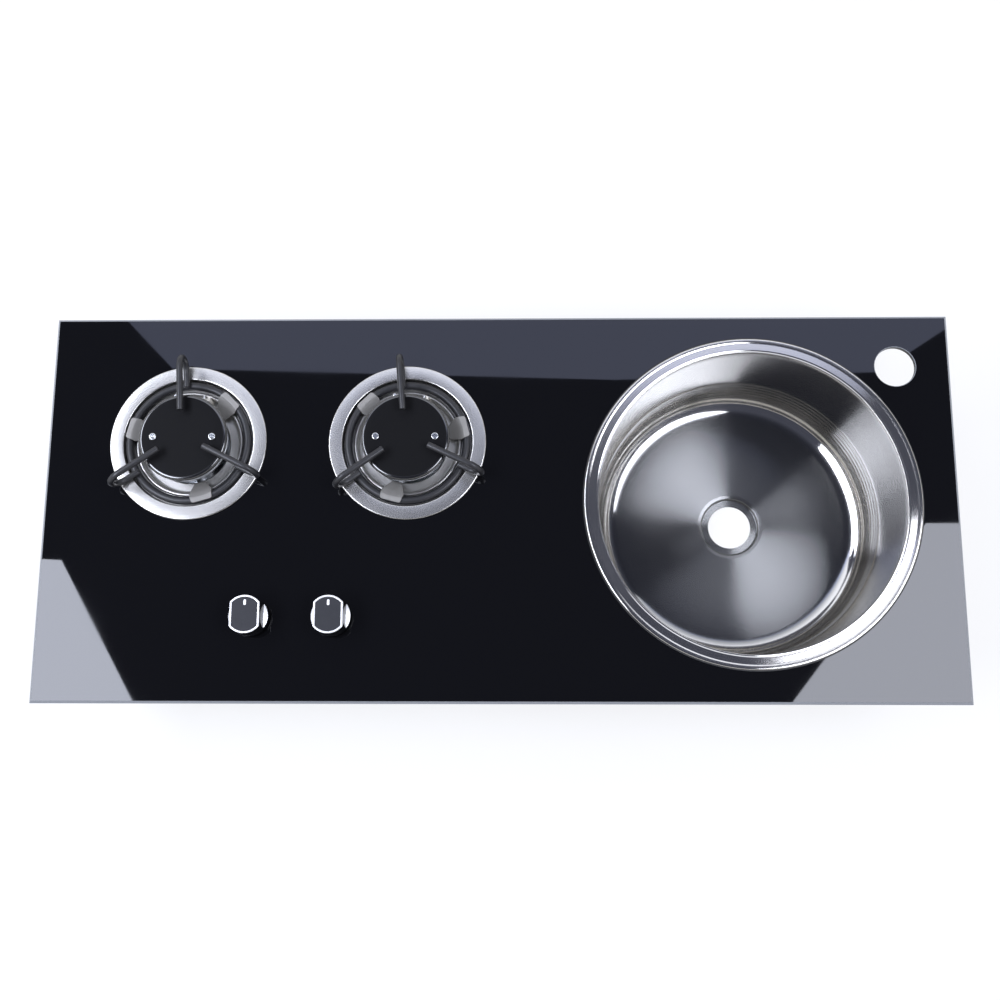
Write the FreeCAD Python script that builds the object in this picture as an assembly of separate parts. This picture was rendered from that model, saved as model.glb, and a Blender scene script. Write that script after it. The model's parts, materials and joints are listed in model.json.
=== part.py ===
import FreeCAD, Part
import math
import os

# Drop-in glass panel with two gas burners on the left and a round sink on the right.
# Millimetres: x to the right, y to the back, z up from the surface that the part stands on.

Vector = FreeCAD.Vector
origin = Vector(0, 0, 0)
up = Vector(0, 0, 1)
back = Vector(0, 1, 0)
sides = ("left", "right")
overshoot = 1.0                 # how far cutters run past what they cut
contact_gap = 0.05              # between pieces that rest on each other
fit_gap = 0.3                   # between pieces that only pass each other

# Panel, stacked from left to right and from front to back
left_land = 53.8                # panel edge to the left drip bowl
burner_gap = 53.3               # between the two drip bowls
middle_land = 82.7              # right drip bowl to the sink rim
sink_rim_radius = 142.4
right_land = 30.8               # sink rim to the panel edge
front_land = 27.5
back_land = 20.7
burner_back_land = 44.5         # drip bowls to the back edge
glass_thickness = 5.0
edge_bevel = 2.0
lower_edge_bevel = 0.8
tap_hole_radius = 17.5
tap_side_margin = 46.8          # tap hole centre to the right edge
tap_back_margin = 45.5
hole_bevel = 0.6
panel_seal_inset = 3.0
panel_seal_width = 10.0
panel_seal_thickness = 3.0

# Sink, depths from the glass top
sink_sheet = 1.0
sink_depth = 126.0              # to the drain seat
sink_wall_draft = 6.5           # how much narrower the wall is at its foot
sink_foot_round = 20.0
rim_width = 12.9
rim_height = 3.0
rim_fall = 0.9                  # from the rim's crown to its inner edge
rim_round = 1.8
drain_radius = 19.8
drain_seat_width = 6.0
drain_seat_depth = 4.0
drain_seat_slope = 1.2
drain_seat_round = 1.0
sink_floor_fall = 2.0
sink_seal_thickness = 1.0
sink_seal_show = 0.8            # how far the seal stands out past the rim
sink_hole_clearance = 2.5
bracket_angles = (45, 135, 225, 315)
bracket_width = 18.0
bracket_sheet = 2.0
bracket_drop = 12.0             # to the bracket's arm
bracket_leg = 16.0
bracket_screw_reach = 12.0      # bowl wall to the screw
bracket_end_land = 8.0
sink_screw_radius = 2.5
sink_screw_head_width = 7.8     # across flats
sink_screw_head_height = 3.0
screw_clearance = 0.2

# Drip bowls
bowl_sheet = 0.8
bowl_flange_width = 11.7
bowl_flange_height = 1.9
bowl_flange_round = 1.0
bowl_lip_gap = 0.15
bowl_throat_round = 1.2
bowl_seal_thickness = 0.9
groove_draft = 0.6
groove_round = 0.6
bead_rise = 3.6                 # groove floor to the top of the inner bead
bead_width = 2.0
cone_width = 11.3
cone_drop = 9.7                 # top of the bead to the foot of the cone
cone_round = 1.5
collar_length = 4.5
burner_air_gap = 2.0            # burner cup to the drip bowl's collar
burner_hole_clearance = 1.4
sensor_hole_clearance = 0.6

# Pan supports
ring_wire_radius = 3.4
ring_side_gap = 1.0
arm_wire_radius = 2.7
arm_overhang = 6.0              # how far the arms stand out past the drip bowls
arm_inner_radius = 21.5
pan_gap = 4.8                   # burner caps to the upper legs
weld_depth = 0.5
arm_count = 3
first_arm_angle = {"left": 93.5, "right": 95.0}
turning_clearance = 0.35

# Clips that hold the pan supports down
clip_sheet = 1.0
clip_count = 3
clip_gap = 0.1
clip_inset = 1.5                # from the foot of the cone
clip_outer_reach = 2.5          # past the middle of the ring
clip_wide_reach = 0.7           # past the top of the bead, where the clips are widest
clip_inner_width = 9.0
clip_wide_width = 19.6
clip_outer_width = 17.6
clip_bend = 1.0
clip_corner_round = 2.0
first_clip_angle = {"left": 46.0, "right": 15.0}

# Burners, heights from the glass top
cap_reach = 6.5                 # cup to the cap's edge
cap_top = 20.5
cap_thickness = 3.0
cap_round = 1.4
cap_overhang = 1.5              # over the crown of ports
cap_screw_radius = 2.0
cap_screw_head_radius = 3.1
cap_screw_head_height = 1.7
cap_screw_head_round = 0.85
cap_screw_length = 26.0
recess_length = 3.8
recess_width = 0.8
recess_depth = 1.0
head_flange_show = 1.1          # how far the head stands out past the cap
head_flange_thickness = 2.5
crown_wall = 5.0
crown_height = 8.5
port_count = 36
port_width = 1.5
port_height = 4.5
cup_radius = 31.0
cup_wall = 3.0
cup_depth = 19.0
cup_taper = 14.0
cup_foot_radius = 22.0
boss_radius = 4.2
boss_inset = 3.0                # from the inside of the cup
boss_land = 0.8
mixing_tube_radius = 10.0
mixing_tube_wall = 2.5
tube_floor_gap = 2.0            # chassis to the mixing tubes
mouth_air_gap = 3.0
burner_screw_spacing = 24.0
burner_screw_radius = 2.0
burner_screw_head_radius = 3.6
burner_screw_head_height = 2.4

# Igniters and flame sensors, heights from the glass top
sensor_gap = 0.4                # from the burner head
igniter_angle = 68.0
thermocouple_angle = 105.0
ceramic_radius = 2.4
ceramic_top = 4.0
ceramic_length = 44.0
ceramic_collar_radius = 3.8
ceramic_collar_height = 2.0
tip_radius = 0.8
tip_rise = 9.0
tip_reach = 2.6
tip_bend = 1.2
probe_radius = 2.0
probe_top = 9.0
probe_length = 46.0
probe_tip_round = 1.2
probe_collar_radius = 3.6
probe_collar_height = 4.0
ear_thickness = 3.0
ear_gap = 6.0                   # drip bowl's collar to the ear that carries the sensors
ear_margin = 5.5
ear_side_angle = 12.0
sensor_clearance = 0.3
thermocouple_lead_radius = 1.0
thermocouple_lead_bend = 8.0
thermocouple_lead_drop = 18.0   # below the magnets

# Knobs, heights from the glass top
knob_spacing = 68.3
knob_radius = 16.4
knob_flat_depth = 3.65          # cut off each side of the grip
knob_base_height = 6.3
knob_grip_height = 14.5
knob_roof = 5.8                 # over the end of the stem
knob_bore_clearance = 0.1
knob_push_clearance = 0.4
trim_width = 1.7
trim_thickness = 1.2
face_recess = 0.2
pointer_width = 2.4
pointer_length = 5.0
pointer_margin = 2.2
pointer_depth = 0.6
push_travel = 3.0
shaft_seal_wall = 3.0
shaft_seal_lip = 3.0
shaft_seal_thickness = 0.8

# Valves, heights from the chassis
stem_radius = 4.0
stem_clearance = 0.2
stem_flange_radius = 5.0
stem_flange_thickness = 1.4
stem_flange_clearance = 0.45
push_clearance = 0.8
blade_width = 6.4
blade_thickness = 2.4
blade_length = 12.0
blade_clearance = 0.25
blade_slot_end = 2.0
stem_collar_lip = 0.7
stem_collar_thickness = 1.5
stem_collar_gap = 4.0           # to the underside of the glass
spring_length = 8.5
spring_wire_radius = 0.4
spring_side_gap = 1.0
spring_turns = 4
valve_radius = 13.0
neck_wall = 3.0
neck_height = 6.0
shoulder_rise = 0.5
plug_foot_radius = 8.0
plug_top_radius = 6.5
plug_height = 17.2
plug_clearance = 0.15
port_radius = 2.2
outlet_radius = 6.5
outlet_reach = 9.0
jet_hex_length = 6.0
jet_hex_width = 9.5             # across flats
jet_nose_radius = 3.5
jet_nose_length = 8.0
jet_bore = 0.6
magnet_rim = 0.6
magnet_length = 20.0
magnet_spigot = 1.5
magnet_tail_radius = 5.0
magnet_tail_length = 10.0
magnet_clearance = 1.0
switch_length = 9.0
switch_width = 12.0
switch_height = 7.0

# Gas supply
rail_radius = 6.0
rail_wall = 1.0
rail_gap = 8.0                  # to the tray's front wall
rail_overhang = 22.0
rail_bend = 24.0
rail_side_gap = 25.0            # to the tray's right wall
inlet_boss_radius = 5.5
inlet_boss_length = 7.0
inlet_radius = 8.33
inlet_length = 14.0
inlet_bore = 4.5
inlet_inside = 16.0
inlet_shank_radius = 9.5
inlet_nut_width = 24.0          # across flats
inlet_nut_thickness = 6.0
inlet_clearance = 0.3

# Tray and chassis
tray_sheet = 1.0
worktop_edge_gap = 7.0          # panel seal to the tray's flange, where the worktop's cut-out lies
tray_land = 22.0                # right drip bowl to the tray's right wall
tray_flange_width = 10.0
tray_corner_round = 5.0
tray_bond_width = 8.0
tray_bond_thickness = 1.0
vent_count = 5
vent_length = 46.0
vent_width = 5.0
vent_pitch = 14.0
clamp_hole_radius = 2.25
clamp_hole_drop = 20.0          # glass top to the worktop clamps' screw holes
clamp_hole_spacing = 300.0
chassis_sheet = 1.0
chassis_leg_inset = 20.0
chassis_end_gap = 4.0
chassis_bend = 2.0
lead_hole_radius = 4.0
rivet_radius = 1.6
rivet_head_radius = 3.0
rivet_head_height = 1.2
rivet_head_round = 1.0
rivet_clearance = 0.1
rivet_land = 1.5                # on each side of a rivet's head
rivet_end_inset = 40.0

# Ignition
module_length = 60.0
module_depth = 40.0
module_height = 25.0
module_back = 8.0               # behind the leads
module_round = 3.0
ignition_lead_radius = 1.5
ignition_lead_height = 14.0
ignition_lead_bend = 12.0

# Places and sizes that follow from those above
cone_foot_radius = cup_radius + burner_air_gap
bead_radius = cone_foot_radius + cone_width
groove_inner_radius = bead_radius + bead_width
groove_width = 2 * (ring_wire_radius + ring_side_gap)
groove_outer_radius = groove_inner_radius + groove_width + groove_draft
bowl_flange_radius = groove_outer_radius + bowl_flange_width
groove_depth = 2 * ring_wire_radius - bowl_flange_height - weld_depth
bead_drop = groove_depth - bead_rise
cone_foot_drop = bead_drop + cone_drop
burner_hole_radius = groove_outer_radius + burner_hole_clearance
ring_radius = groove_inner_radius + groove_width / 2
ring_height = ring_wire_radius + turning_clearance - groove_depth
leg_height = bowl_flange_height + turning_clearance + arm_wire_radius
arm_height = cap_top + pan_gap + arm_wire_radius
arm_outer_radius = bowl_flange_radius + arm_overhang
clip_inner_radius = cone_foot_radius + clip_inset
clip_outer_radius = ring_radius + clip_outer_reach

panel_width = left_land + 4 * bowl_flange_radius + burner_gap + middle_land + 2 * sink_rim_radius + right_land
panel_depth = front_land + 2 * sink_rim_radius + back_land
panel_left = -panel_width / 2
panel_right = panel_width / 2
panel_front = -panel_depth / 2
panel_back = panel_depth / 2
glass_top = sink_depth + sink_sheet
glass_under = glass_top - glass_thickness
sink_x = panel_right - right_land - sink_rim_radius
sink_y = panel_front + front_land + sink_rim_radius
sink_wall_top_radius = sink_rim_radius - rim_width
sink_wall_foot_radius = sink_wall_top_radius - sink_wall_draft
sink_hole_radius = sink_wall_top_radius + sink_sheet + sink_hole_clearance
tap_x = panel_right - tap_side_margin
tap_y = panel_back - tap_back_margin
left_burner_x = panel_left + left_land + bowl_flange_radius
right_burner_x = left_burner_x + 2 * bowl_flange_radius + burner_gap
burner_x = {"left": left_burner_x, "right": right_burner_x}
burner_y = panel_back - burner_back_land - bowl_flange_radius
burner_middle_x = (left_burner_x + right_burner_x) / 2

cap_radius = cup_radius + cap_reach
crown_radius = cap_radius - cap_overhang
head_flange_radius = cap_radius + head_flange_show
head_base = cap_top - cap_thickness - crown_height - head_flange_thickness
cap_screw_reach = cup_radius - cup_wall - boss_inset
head_bore_radius = cap_screw_reach - boss_radius - boss_land
sensor_radius = head_flange_radius + sensor_gap + probe_radius
ear_drop = cone_foot_drop + collar_length + ear_gap

plug_lift = magnet_spigot + fit_gap
plug_top = plug_lift + plug_height
stem_flange_low = plug_top + push_travel + push_clearance
stem_flange_top = stem_flange_low + stem_flange_thickness
stem_shoulder = stem_flange_top + fit_gap
blade_low = stem_flange_low - blade_length
valve_height = stem_shoulder - shoulder_rise
neck_radius = stem_flange_radius + neck_wall
neck_end = valve_height + neck_height
spring_end = neck_end + spring_length
spring_radius = stem_radius + spring_side_gap + spring_wire_radius
stem_collar_radius = spring_radius + spring_wire_radius + stem_collar_lip
stem_collar_end = spring_end + stem_collar_thickness
chassis_drop = stem_collar_end + stem_collar_gap + glass_thickness
chassis_top = glass_top - chassis_drop
outlet_length = valve_radius + outlet_reach
mouth_gap = outlet_length + jet_hex_length + mouth_air_gap
jet_height = mixing_tube_radius + tube_floor_gap
jet_z = chassis_top + jet_height
magnet_radius = plug_foot_radius + magnet_rim
magnet_end = magnet_length + magnet_tail_length

shaft_hole_radius = stem_radius + shaft_seal_wall
shaft_seal_radius = shaft_hole_radius + shaft_seal_lip
knob_gap = push_travel + shaft_seal_thickness + knob_push_clearance
knob_step = knob_gap + knob_base_height
knob_top = knob_step + knob_grip_height
stem_top = knob_top - trim_thickness - knob_roof
pointer_distance = knob_radius - trim_width - pointer_margin - pointer_length / 2

tray_margin = panel_seal_inset + panel_seal_width + worktop_edge_gap + tray_flange_width
tray_left = panel_left + tray_margin
tray_right = right_burner_x + bowl_flange_radius + tray_land
tray_front = panel_front + tray_margin
tray_back = panel_back - tray_margin
tray_top = glass_under - tray_bond_thickness
rail_offset = valve_radius + inlet_boss_length + rail_radius
rail_y = tray_front + tray_sheet + rail_gap + rail_radius
rail_corner_x = tray_right - rail_side_gap
knob_x = {"left": burner_middle_x - knob_spacing / 2, "right": burner_middle_x + knob_spacing / 2}
knob_y = rail_y + rail_offset
chassis_foot = chassis_bend + chassis_sheet + 2 * (rivet_head_radius + rivet_land)
chassis_front = tray_front + tray_sheet + chassis_leg_inset
chassis_back = tray_back - tray_sheet - chassis_leg_inset


def polar(radius, angle):
    return Vector(radius * math.cos(math.radians(angle)), radius * math.sin(math.radians(angle)), 0)


def burner_place(side):
    return Vector(burner_x[side], burner_y, glass_top)


def knob_place(side):
    return Vector(knob_x[side], knob_y, glass_top)


def valve_place(side):
    return Vector(knob_x[side], knob_y, chassis_top)


def sensor_place(side, angle):
    return burner_place(side) + polar(sensor_radius, angle)


def block(low, high):
    size = high - low
    return Part.makeBox(size.x, size.y, size.z, low)


def rounded_block(low, high, radius):
    box = block(low, high)
    upright = [edge for edge in box.Edges if abs(edge.BoundBox.ZLength - (high.z - low.z)) < 1e-6]
    return box.makeFillet(radius, upright)


def slot(middle, length, width, height):
    half = (length - width) / 2
    body = block(middle - Vector(half, width / 2, 0), middle + Vector(half, width / 2, height))
    ends = [Part.makeCylinder(width / 2, height, middle + Vector(x, 0, 0)) for x in (-half, half)]
    return body.fuse(ends).removeSplitter()


def hexagon(across_flats, height, base, axis):
    corners = [polar(across_flats / math.sqrt(3), 60 * i) for i in range(7)]
    prism = Part.Face(Part.makePolygon(corners)).extrude(up * height)
    prism.Placement = FreeCAD.Placement(base, FreeCAD.Rotation(up, axis))
    return prism


def turned(profile):
    corners = [Vector(radius, 0, height) for radius, height in profile]
    return Part.Face(Part.makePolygon(corners + corners[:1])).revolve(origin, up, 360)


def rounded_edges(points, radii):
    edges = []
    start = points[0]
    for before, corner, after, radius in zip(points, points[1:], points[2:], radii):
        behind = (before - corner).normalize()
        ahead = (after - corner).normalize()
        half_angle = behind.getAngle(ahead) / 2
        if radius == 0:
            edges.append(Part.LineSegment(start, corner).toShape())
            start = corner
            continue
        reach = radius / math.tan(half_angle)
        crest = corner + (behind + ahead).normalize() * (radius / math.sin(half_angle) - radius)
        edges.append(Part.LineSegment(start, corner + behind * reach).toShape())
        edges.append(Part.Arc(corner + behind * reach, crest, corner + ahead * reach).toShape())
        start = corner + ahead * reach
    edges.append(Part.LineSegment(start, points[-1]).toShape())
    return edges


# Section of a bent sheet: the points run along one face, and the sheet lies on their left
def sheet_section(profile, radii, thickness):
    points = [Vector(x, 0, z) for x, z in profile]
    ways = [(end - start).normalize() for start, end in zip(points, points[1:])]
    normals = [Vector(-way.z, 0, way.x) for way in ways]
    other = [points[0] + normals[0] * thickness]
    other_radii = []
    for i, radius in enumerate(radii):
        middle = normals[i] + normals[i + 1]
        other.append(points[i + 1] + middle * (thickness / (1 + normals[i].dot(normals[i + 1]))))
        turns_left = ways[i].x * ways[i + 1].z - ways[i].z * ways[i + 1].x > 0
        other_radii.append(max(radius - thickness, 0) if turns_left else radius + thickness)
    other.append(points[-1] + normals[-1] * thickness)
    edges = rounded_edges(points, radii)
    edges.append(Part.LineSegment(points[-1], other[-1]).toShape())
    edges += rounded_edges(other[::-1], other_radii[::-1])
    edges.append(Part.LineSegment(other[0], points[0]).toShape())
    return Part.Face(Part.Wire(edges))


def swept(edges, radius):
    path = Part.Wire(edges)
    first = edges[0]
    start = first.valueAt(first.FirstParameter)
    section = Part.Wire(Part.makeCircle(radius, start, first.tangentAt(first.FirstParameter)))
    return path.makePipeShell([section], True, False)


def tube(points, bend, radius):
    return swept(rounded_edges(points, [bend] * (len(points) - 2)), radius)


def around(shape, first_angle, count):
    return [shape.rotated(origin, up, first_angle + 360 * i / count) for i in range(count)]


def save(name, solids):
    shape = solids[0] if len(solids) == 1 else Part.makeCompound(solids)
    shape.exportStep(os.path.join("parts", name + ".step"))


def glass_panel():
    plate = block(Vector(panel_left, panel_front, glass_under), Vector(panel_right, panel_back, glass_top))
    upper = [edge for edge in plate.Edges if edge.BoundBox.ZMin > glass_top - 1e-6]
    plate = plate.makeChamfer(edge_bevel, upper)
    lower = [edge for edge in plate.Edges if edge.BoundBox.ZMax < glass_under + 1e-6]
    plate = plate.makeChamfer(lower_edge_bevel, lower)
    holes = [(sink_x, sink_y, sink_hole_radius), (tap_x, tap_y, tap_hole_radius)]
    holes += [(burner_x[side], burner_y, burner_hole_radius) for side in sides]
    holes += [(knob_x[side], knob_y, shaft_hole_radius) for side in sides]
    for x, y, radius in holes:
        cutter = turned([
            (0, glass_under), (radius + hole_bevel, glass_under), (radius, glass_under + hole_bevel),
            (radius, glass_top - hole_bevel), (radius + hole_bevel, glass_top), (0, glass_top)])
        plate = plate.cut(cutter.translated(Vector(x, y, 0)))
    return plate


def panel_seal():
    low = glass_under - panel_seal_thickness
    x0 = panel_left + panel_seal_inset
    x1 = panel_right - panel_seal_inset
    y0 = panel_front + panel_seal_inset
    y1 = panel_back - panel_seal_inset
    inner_y0 = y0 + panel_seal_width
    inner_y1 = y1 - panel_seal_width
    return [
        block(Vector(x0, y0, low), Vector(x1, inner_y0, glass_under)),
        block(Vector(x0, inner_y1, low), Vector(x1, y1, glass_under)),
        block(Vector(x0, inner_y0, low), Vector(x0 + panel_seal_width, inner_y1, glass_under)),
        block(Vector(x1 - panel_seal_width, inner_y0, low), Vector(x1, inner_y1, glass_under))]


def sink_bowl():
    floor = -sink_depth + drain_seat_depth
    seat_radius = drain_radius + drain_seat_width
    profile = [
        (sink_rim_radius, sink_seal_thickness + contact_gap), (sink_rim_radius, rim_height),
        (sink_wall_top_radius, rim_height - rim_fall), (sink_wall_foot_radius, floor + sink_floor_fall),
        (seat_radius + drain_seat_slope, floor), (seat_radius, -sink_depth), (drain_radius, -sink_depth)]
    radii = [rim_round, rim_round, sink_foot_round, rim_round, drain_seat_round]
    bowl = sheet_section(profile, radii, sink_sheet).revolve(origin, up, 360)
    return bowl.translated(Vector(sink_x, sink_y, glass_top))


def sink_seal():
    outer = Part.makeCylinder(sink_rim_radius + sink_seal_show, sink_seal_thickness)
    ring = outer.cut(Part.makeCylinder(sink_hole_radius + hole_bevel, sink_seal_thickness))
    return ring.translated(Vector(sink_x, sink_y, glass_top))


def sink_wall_outside(depth):
    top = rim_height - rim_fall
    foot = sink_depth - drain_seat_depth - sink_floor_fall
    share = (depth + top) / (foot + top)
    slant = math.atan((sink_wall_top_radius - sink_wall_foot_radius) / (foot + top))
    radius = sink_wall_top_radius + (sink_wall_foot_radius - sink_wall_top_radius) * share
    return radius + sink_sheet / math.cos(slant)


def bracket_screw_at(height):
    return Vector(sink_wall_outside(bracket_drop) + bracket_screw_reach, 0, height)


def under_sink_rim(shape):
    return [shape.rotated(origin, up, angle).translated(Vector(sink_x, sink_y, glass_top))
            for angle in bracket_angles]


def sink_brackets():
    face = sink_wall_outside(bracket_drop) + contact_gap
    arm_low = -bracket_drop - bracket_sheet
    arm_end = bracket_screw_at(-bracket_drop).x + bracket_end_land
    hole = Part.makeCylinder(sink_screw_radius + screw_clearance, bracket_sheet + 2 * overshoot,
                             bracket_screw_at(arm_low - overshoot))
    arm = block(Vector(face, -bracket_width / 2, arm_low), Vector(arm_end, bracket_width / 2, -bracket_drop))
    leg = block(Vector(face, -bracket_width / 2, -bracket_drop - bracket_leg),
                Vector(face + bracket_sheet, bracket_width / 2, arm_low))
    return under_sink_rim(arm.fuse(leg).removeSplitter().cut(hole))


def sink_screws():
    head_top = -bracket_drop - bracket_sheet
    shank = Part.makeCylinder(sink_screw_radius, -glass_thickness - head_top, bracket_screw_at(head_top))
    head_foot = bracket_screw_at(head_top - sink_screw_head_height)
    head = hexagon(sink_screw_head_width, sink_screw_head_height, head_foot, up)
    return under_sink_rim(head.fuse(shank).removeSplitter())


def burner_tray():
    rim = Vector(tray_flange_width, tray_flange_width, 0)
    low = Vector(tray_left, tray_front, 0)
    high = Vector(tray_right, tray_back, tray_top)
    wall = Vector(tray_sheet, tray_sheet, 0)
    outside = rounded_block(low, high, tray_corner_round)
    flange_low = Vector(tray_left, tray_front, tray_top - tray_sheet) - rim
    flange = rounded_block(flange_low, high + rim, tray_corner_round)
    inner_round = tray_corner_round - tray_sheet
    inside = rounded_block(low + wall + up * tray_sheet, high - wall + up * overshoot, inner_round)
    tray = outside.fuse(flange).removeSplitter().cut(inside)
    depth = tray_sheet + 2 * overshoot
    cuts = []
    for side in sides:
        for i in range(vent_count):
            y = burner_y + (i - (vent_count - 1) / 2) * vent_pitch
            cuts.append(slot(Vector(burner_x[side], y, -overshoot), vent_length, vent_width, depth))
    inlet_hole = Vector(rail_corner_x, tray_back - tray_sheet - overshoot, jet_z)
    cuts.append(Part.makeCylinder(inlet_shank_radius + inlet_clearance, depth, inlet_hole, back))
    for y in (tray_front - overshoot, tray_back - tray_sheet - overshoot):
        for x in (-clamp_hole_spacing / 2, clamp_hole_spacing / 2):
            place = Vector(burner_middle_x + x, y, glass_top - clamp_hole_drop)
            cuts.append(Part.makeCylinder(clamp_hole_radius, depth, place, back))
    for place in rivet_places():
        cuts.append(Part.makeCylinder(rivet_radius + rivet_clearance, depth, place - up * overshoot))
    return tray.cut(cuts)


def tray_bond():
    inset = (tray_flange_width - tray_bond_width) / 2
    x0 = tray_left - tray_flange_width + inset
    x1 = tray_right + tray_flange_width - inset
    y0 = tray_front - tray_flange_width + inset
    y1 = tray_back + tray_flange_width - inset
    width = tray_bond_width
    return [
        block(Vector(x0, y0, tray_top), Vector(x1, y0 + width, glass_under)),
        block(Vector(x0, y1 - width, tray_top), Vector(x1, y1, glass_under)),
        block(Vector(x0, y0 + width, tray_top), Vector(x0 + width, y1 - width, glass_under)),
        block(Vector(x1 - width, y0 + width, tray_top), Vector(x1, y1 - width, glass_under))]


def rivet_places():
    inset = rivet_land + rivet_head_radius
    rows = (chassis_front - chassis_foot + inset, chassis_back + chassis_foot - inset)
    ends = (tray_left + rivet_end_inset, tray_right - rivet_end_inset)
    return [Vector(x, y, 0) for x in ends for y in rows]


def burner_screw_places():
    return [Vector(burner_x[side] + x, burner_y, chassis_top)
            for side in sides for x in (-burner_screw_spacing / 2, burner_screw_spacing / 2)]


def burner_chassis():
    foot_top = tray_sheet + chassis_sheet
    profile = [
        (chassis_back + chassis_foot, foot_top), (chassis_back, foot_top), (chassis_back, chassis_top),
        (chassis_front, chassis_top), (chassis_front, foot_top), (chassis_front - chassis_foot, foot_top)]
    section = sheet_section(profile, [chassis_bend] * 4, chassis_sheet).rotated(origin, up, 90)
    x0 = tray_left + tray_sheet + chassis_end_gap
    x1 = tray_right - tray_sheet - chassis_end_gap
    channel = section.translated(Vector(x0, 0, 0)).extrude(Vector(x1 - x0, 0, 0))
    depth = chassis_sheet + 2 * overshoot
    below = up * (chassis_sheet + overshoot)
    cuts = [Part.makeCylinder(rivet_radius + rivet_clearance, depth, place + up * (tray_sheet - overshoot))
            for place in rivet_places()]
    cuts += [Part.makeCylinder(burner_screw_radius + screw_clearance, depth, place - below)
             for place in burner_screw_places()]
    for side in sides:
        cuts.append(Part.makeCylinder(magnet_radius + magnet_clearance, depth, valve_place(side) - below))
        for angle in (igniter_angle, thermocouple_angle):
            place = sensor_place(side, angle)
            place.z = chassis_top
            cuts.append(Part.makeCylinder(lead_hole_radius, depth, place - below))
    return channel.cut(cuts)


def chassis_rivets():
    head_low = tray_sheet + chassis_sheet
    head_top = head_low + rivet_head_height
    dome = Part.makeCylinder(rivet_head_radius, rivet_head_height, up * head_low)
    rim = [edge for edge in dome.Edges if edge.BoundBox.ZMin > head_top - 1e-6]
    dome = dome.makeFillet(rivet_head_round, rim)
    shank = Part.makeCylinder(rivet_radius, head_low - rivet_clearance, up * rivet_clearance)
    rivet = dome.fuse(shank).removeSplitter()
    return [rivet.translated(place) for place in rivet_places()]


def burner_screws():
    head_top = -chassis_sheet
    head = Part.makeCylinder(burner_screw_head_radius, burner_screw_head_height,
                             up * (head_top - burner_screw_head_height))
    shank = Part.makeCylinder(burner_screw_radius, cup_wall - head_top, up * head_top)
    screw = head.fuse(shank).removeSplitter()
    return [screw.translated(place) for place in burner_screw_places()]


def drip_bowl(side):
    profile = [
        (bowl_flange_radius, bowl_lip_gap), (bowl_flange_radius, bowl_flange_height),
        (groove_outer_radius, bowl_flange_height), (groove_outer_radius - groove_draft, -groove_depth),
        (groove_inner_radius, -groove_depth), (bead_radius, -bead_drop),
        (cone_foot_radius, -cone_foot_drop), (cone_foot_radius, -cone_foot_drop - collar_length)]
    radii = [bowl_flange_round, bowl_throat_round, groove_round, groove_round, bowl_throat_round, cone_round]
    bowl = sheet_section(profile, radii, bowl_sheet).revolve(origin, up, 360)
    deep = cone_foot_drop + collar_length
    holes = []
    for angle, radius in ((igniter_angle, ceramic_radius), (thermocouple_angle, probe_radius)):
        place = polar(sensor_radius, angle) - up * deep
        holes.append(Part.makeCylinder(radius + sensor_hole_clearance, deep + bowl_flange_height, place))
    return bowl.cut(holes).translated(burner_place(side))


def bowl_seal(side):
    outer = Part.makeCylinder(bowl_flange_radius - bowl_sheet - fit_gap, bowl_seal_thickness)
    ring = outer.cut(Part.makeCylinder(burner_hole_radius + hole_bevel, bowl_seal_thickness))
    return ring.translated(burner_place(side))


def pan_support(side):
    ring = Part.makeTorus(ring_radius, ring_wire_radius, up * ring_height)
    bend = (arm_height - leg_height) / 2
    bend_x = arm_outer_radius - arm_wire_radius - bend
    lower = Vector(bend_x, 0, leg_height)
    upper = Vector(bend_x, 0, arm_height)
    outermost = Vector(bend_x + bend, 0, (leg_height + arm_height) / 2)
    edges = [
        Part.LineSegment(Vector(ring_radius - arm_wire_radius, 0, leg_height), lower).toShape(),
        Part.Arc(lower, outermost, upper).toShape(),
        Part.LineSegment(upper, Vector(arm_inner_radius, 0, arm_height)).toShape()]
    arms = around(swept(edges, arm_wire_radius), first_arm_angle[side], arm_count)
    return ring.fuse(arms).removeSplitter().Solids[0].translated(burner_place(side))


def ring_clips(side):
    slope = cone_drop / cone_width
    rise = clip_gap - bead_drop
    reach = ring_wire_radius + turning_clearance
    flat = ring_height + reach
    to_ring = Vector(ring_radius - bead_radius, ring_height - rise, 0)
    fold_angle = math.atan2(to_ring.y, to_ring.x) + math.asin(reach / to_ring.Length)
    fold = bead_radius + (flat - rise) / math.tan(fold_angle)
    profile = [
        (clip_inner_radius, rise - (bead_radius - clip_inner_radius) * slope), (bead_radius, rise),
        (fold, flat), (clip_outer_radius + overshoot, flat)]
    strip = sheet_section(profile, [clip_bend, clip_bend], clip_sheet)
    side_angle = 2 * math.degrees(math.atan2(clip_wide_width / 2, bead_radius))
    sector = strip.rotated(origin, up, -side_angle).revolve(origin, up, 2 * side_angle)
    half_widths = [
        (clip_inner_radius, clip_inner_width / 2), (bead_radius + clip_wide_reach, clip_wide_width / 2),
        (clip_outer_radius, clip_outer_width / 2)]
    low = up * -cone_foot_drop
    corners = [Vector(x, -y, 0) + low for x, y in half_widths]
    corners += [Vector(x, y, 0) + low for x, y in half_widths[::-1]]
    outline = Part.Face(Part.makePolygon(corners + corners[:1])).extrude(up * (cone_foot_drop + arm_height))
    corner_edges = [edge for edge in outline.Edges if edge.BoundBox.ZLength > cone_foot_drop
                    and edge.BoundBox.XMin > clip_outer_radius - overshoot]
    clip = sector.common(outline.makeFillet(clip_corner_round, corner_edges))
    return [copy.translated(burner_place(side))
            for copy in around(clip.Solids[0], first_clip_angle[side], clip_count)]


def cap_screw_places():
    return [Vector(x, 0, 0) for x in (-cap_screw_reach, cap_screw_reach)]


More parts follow.
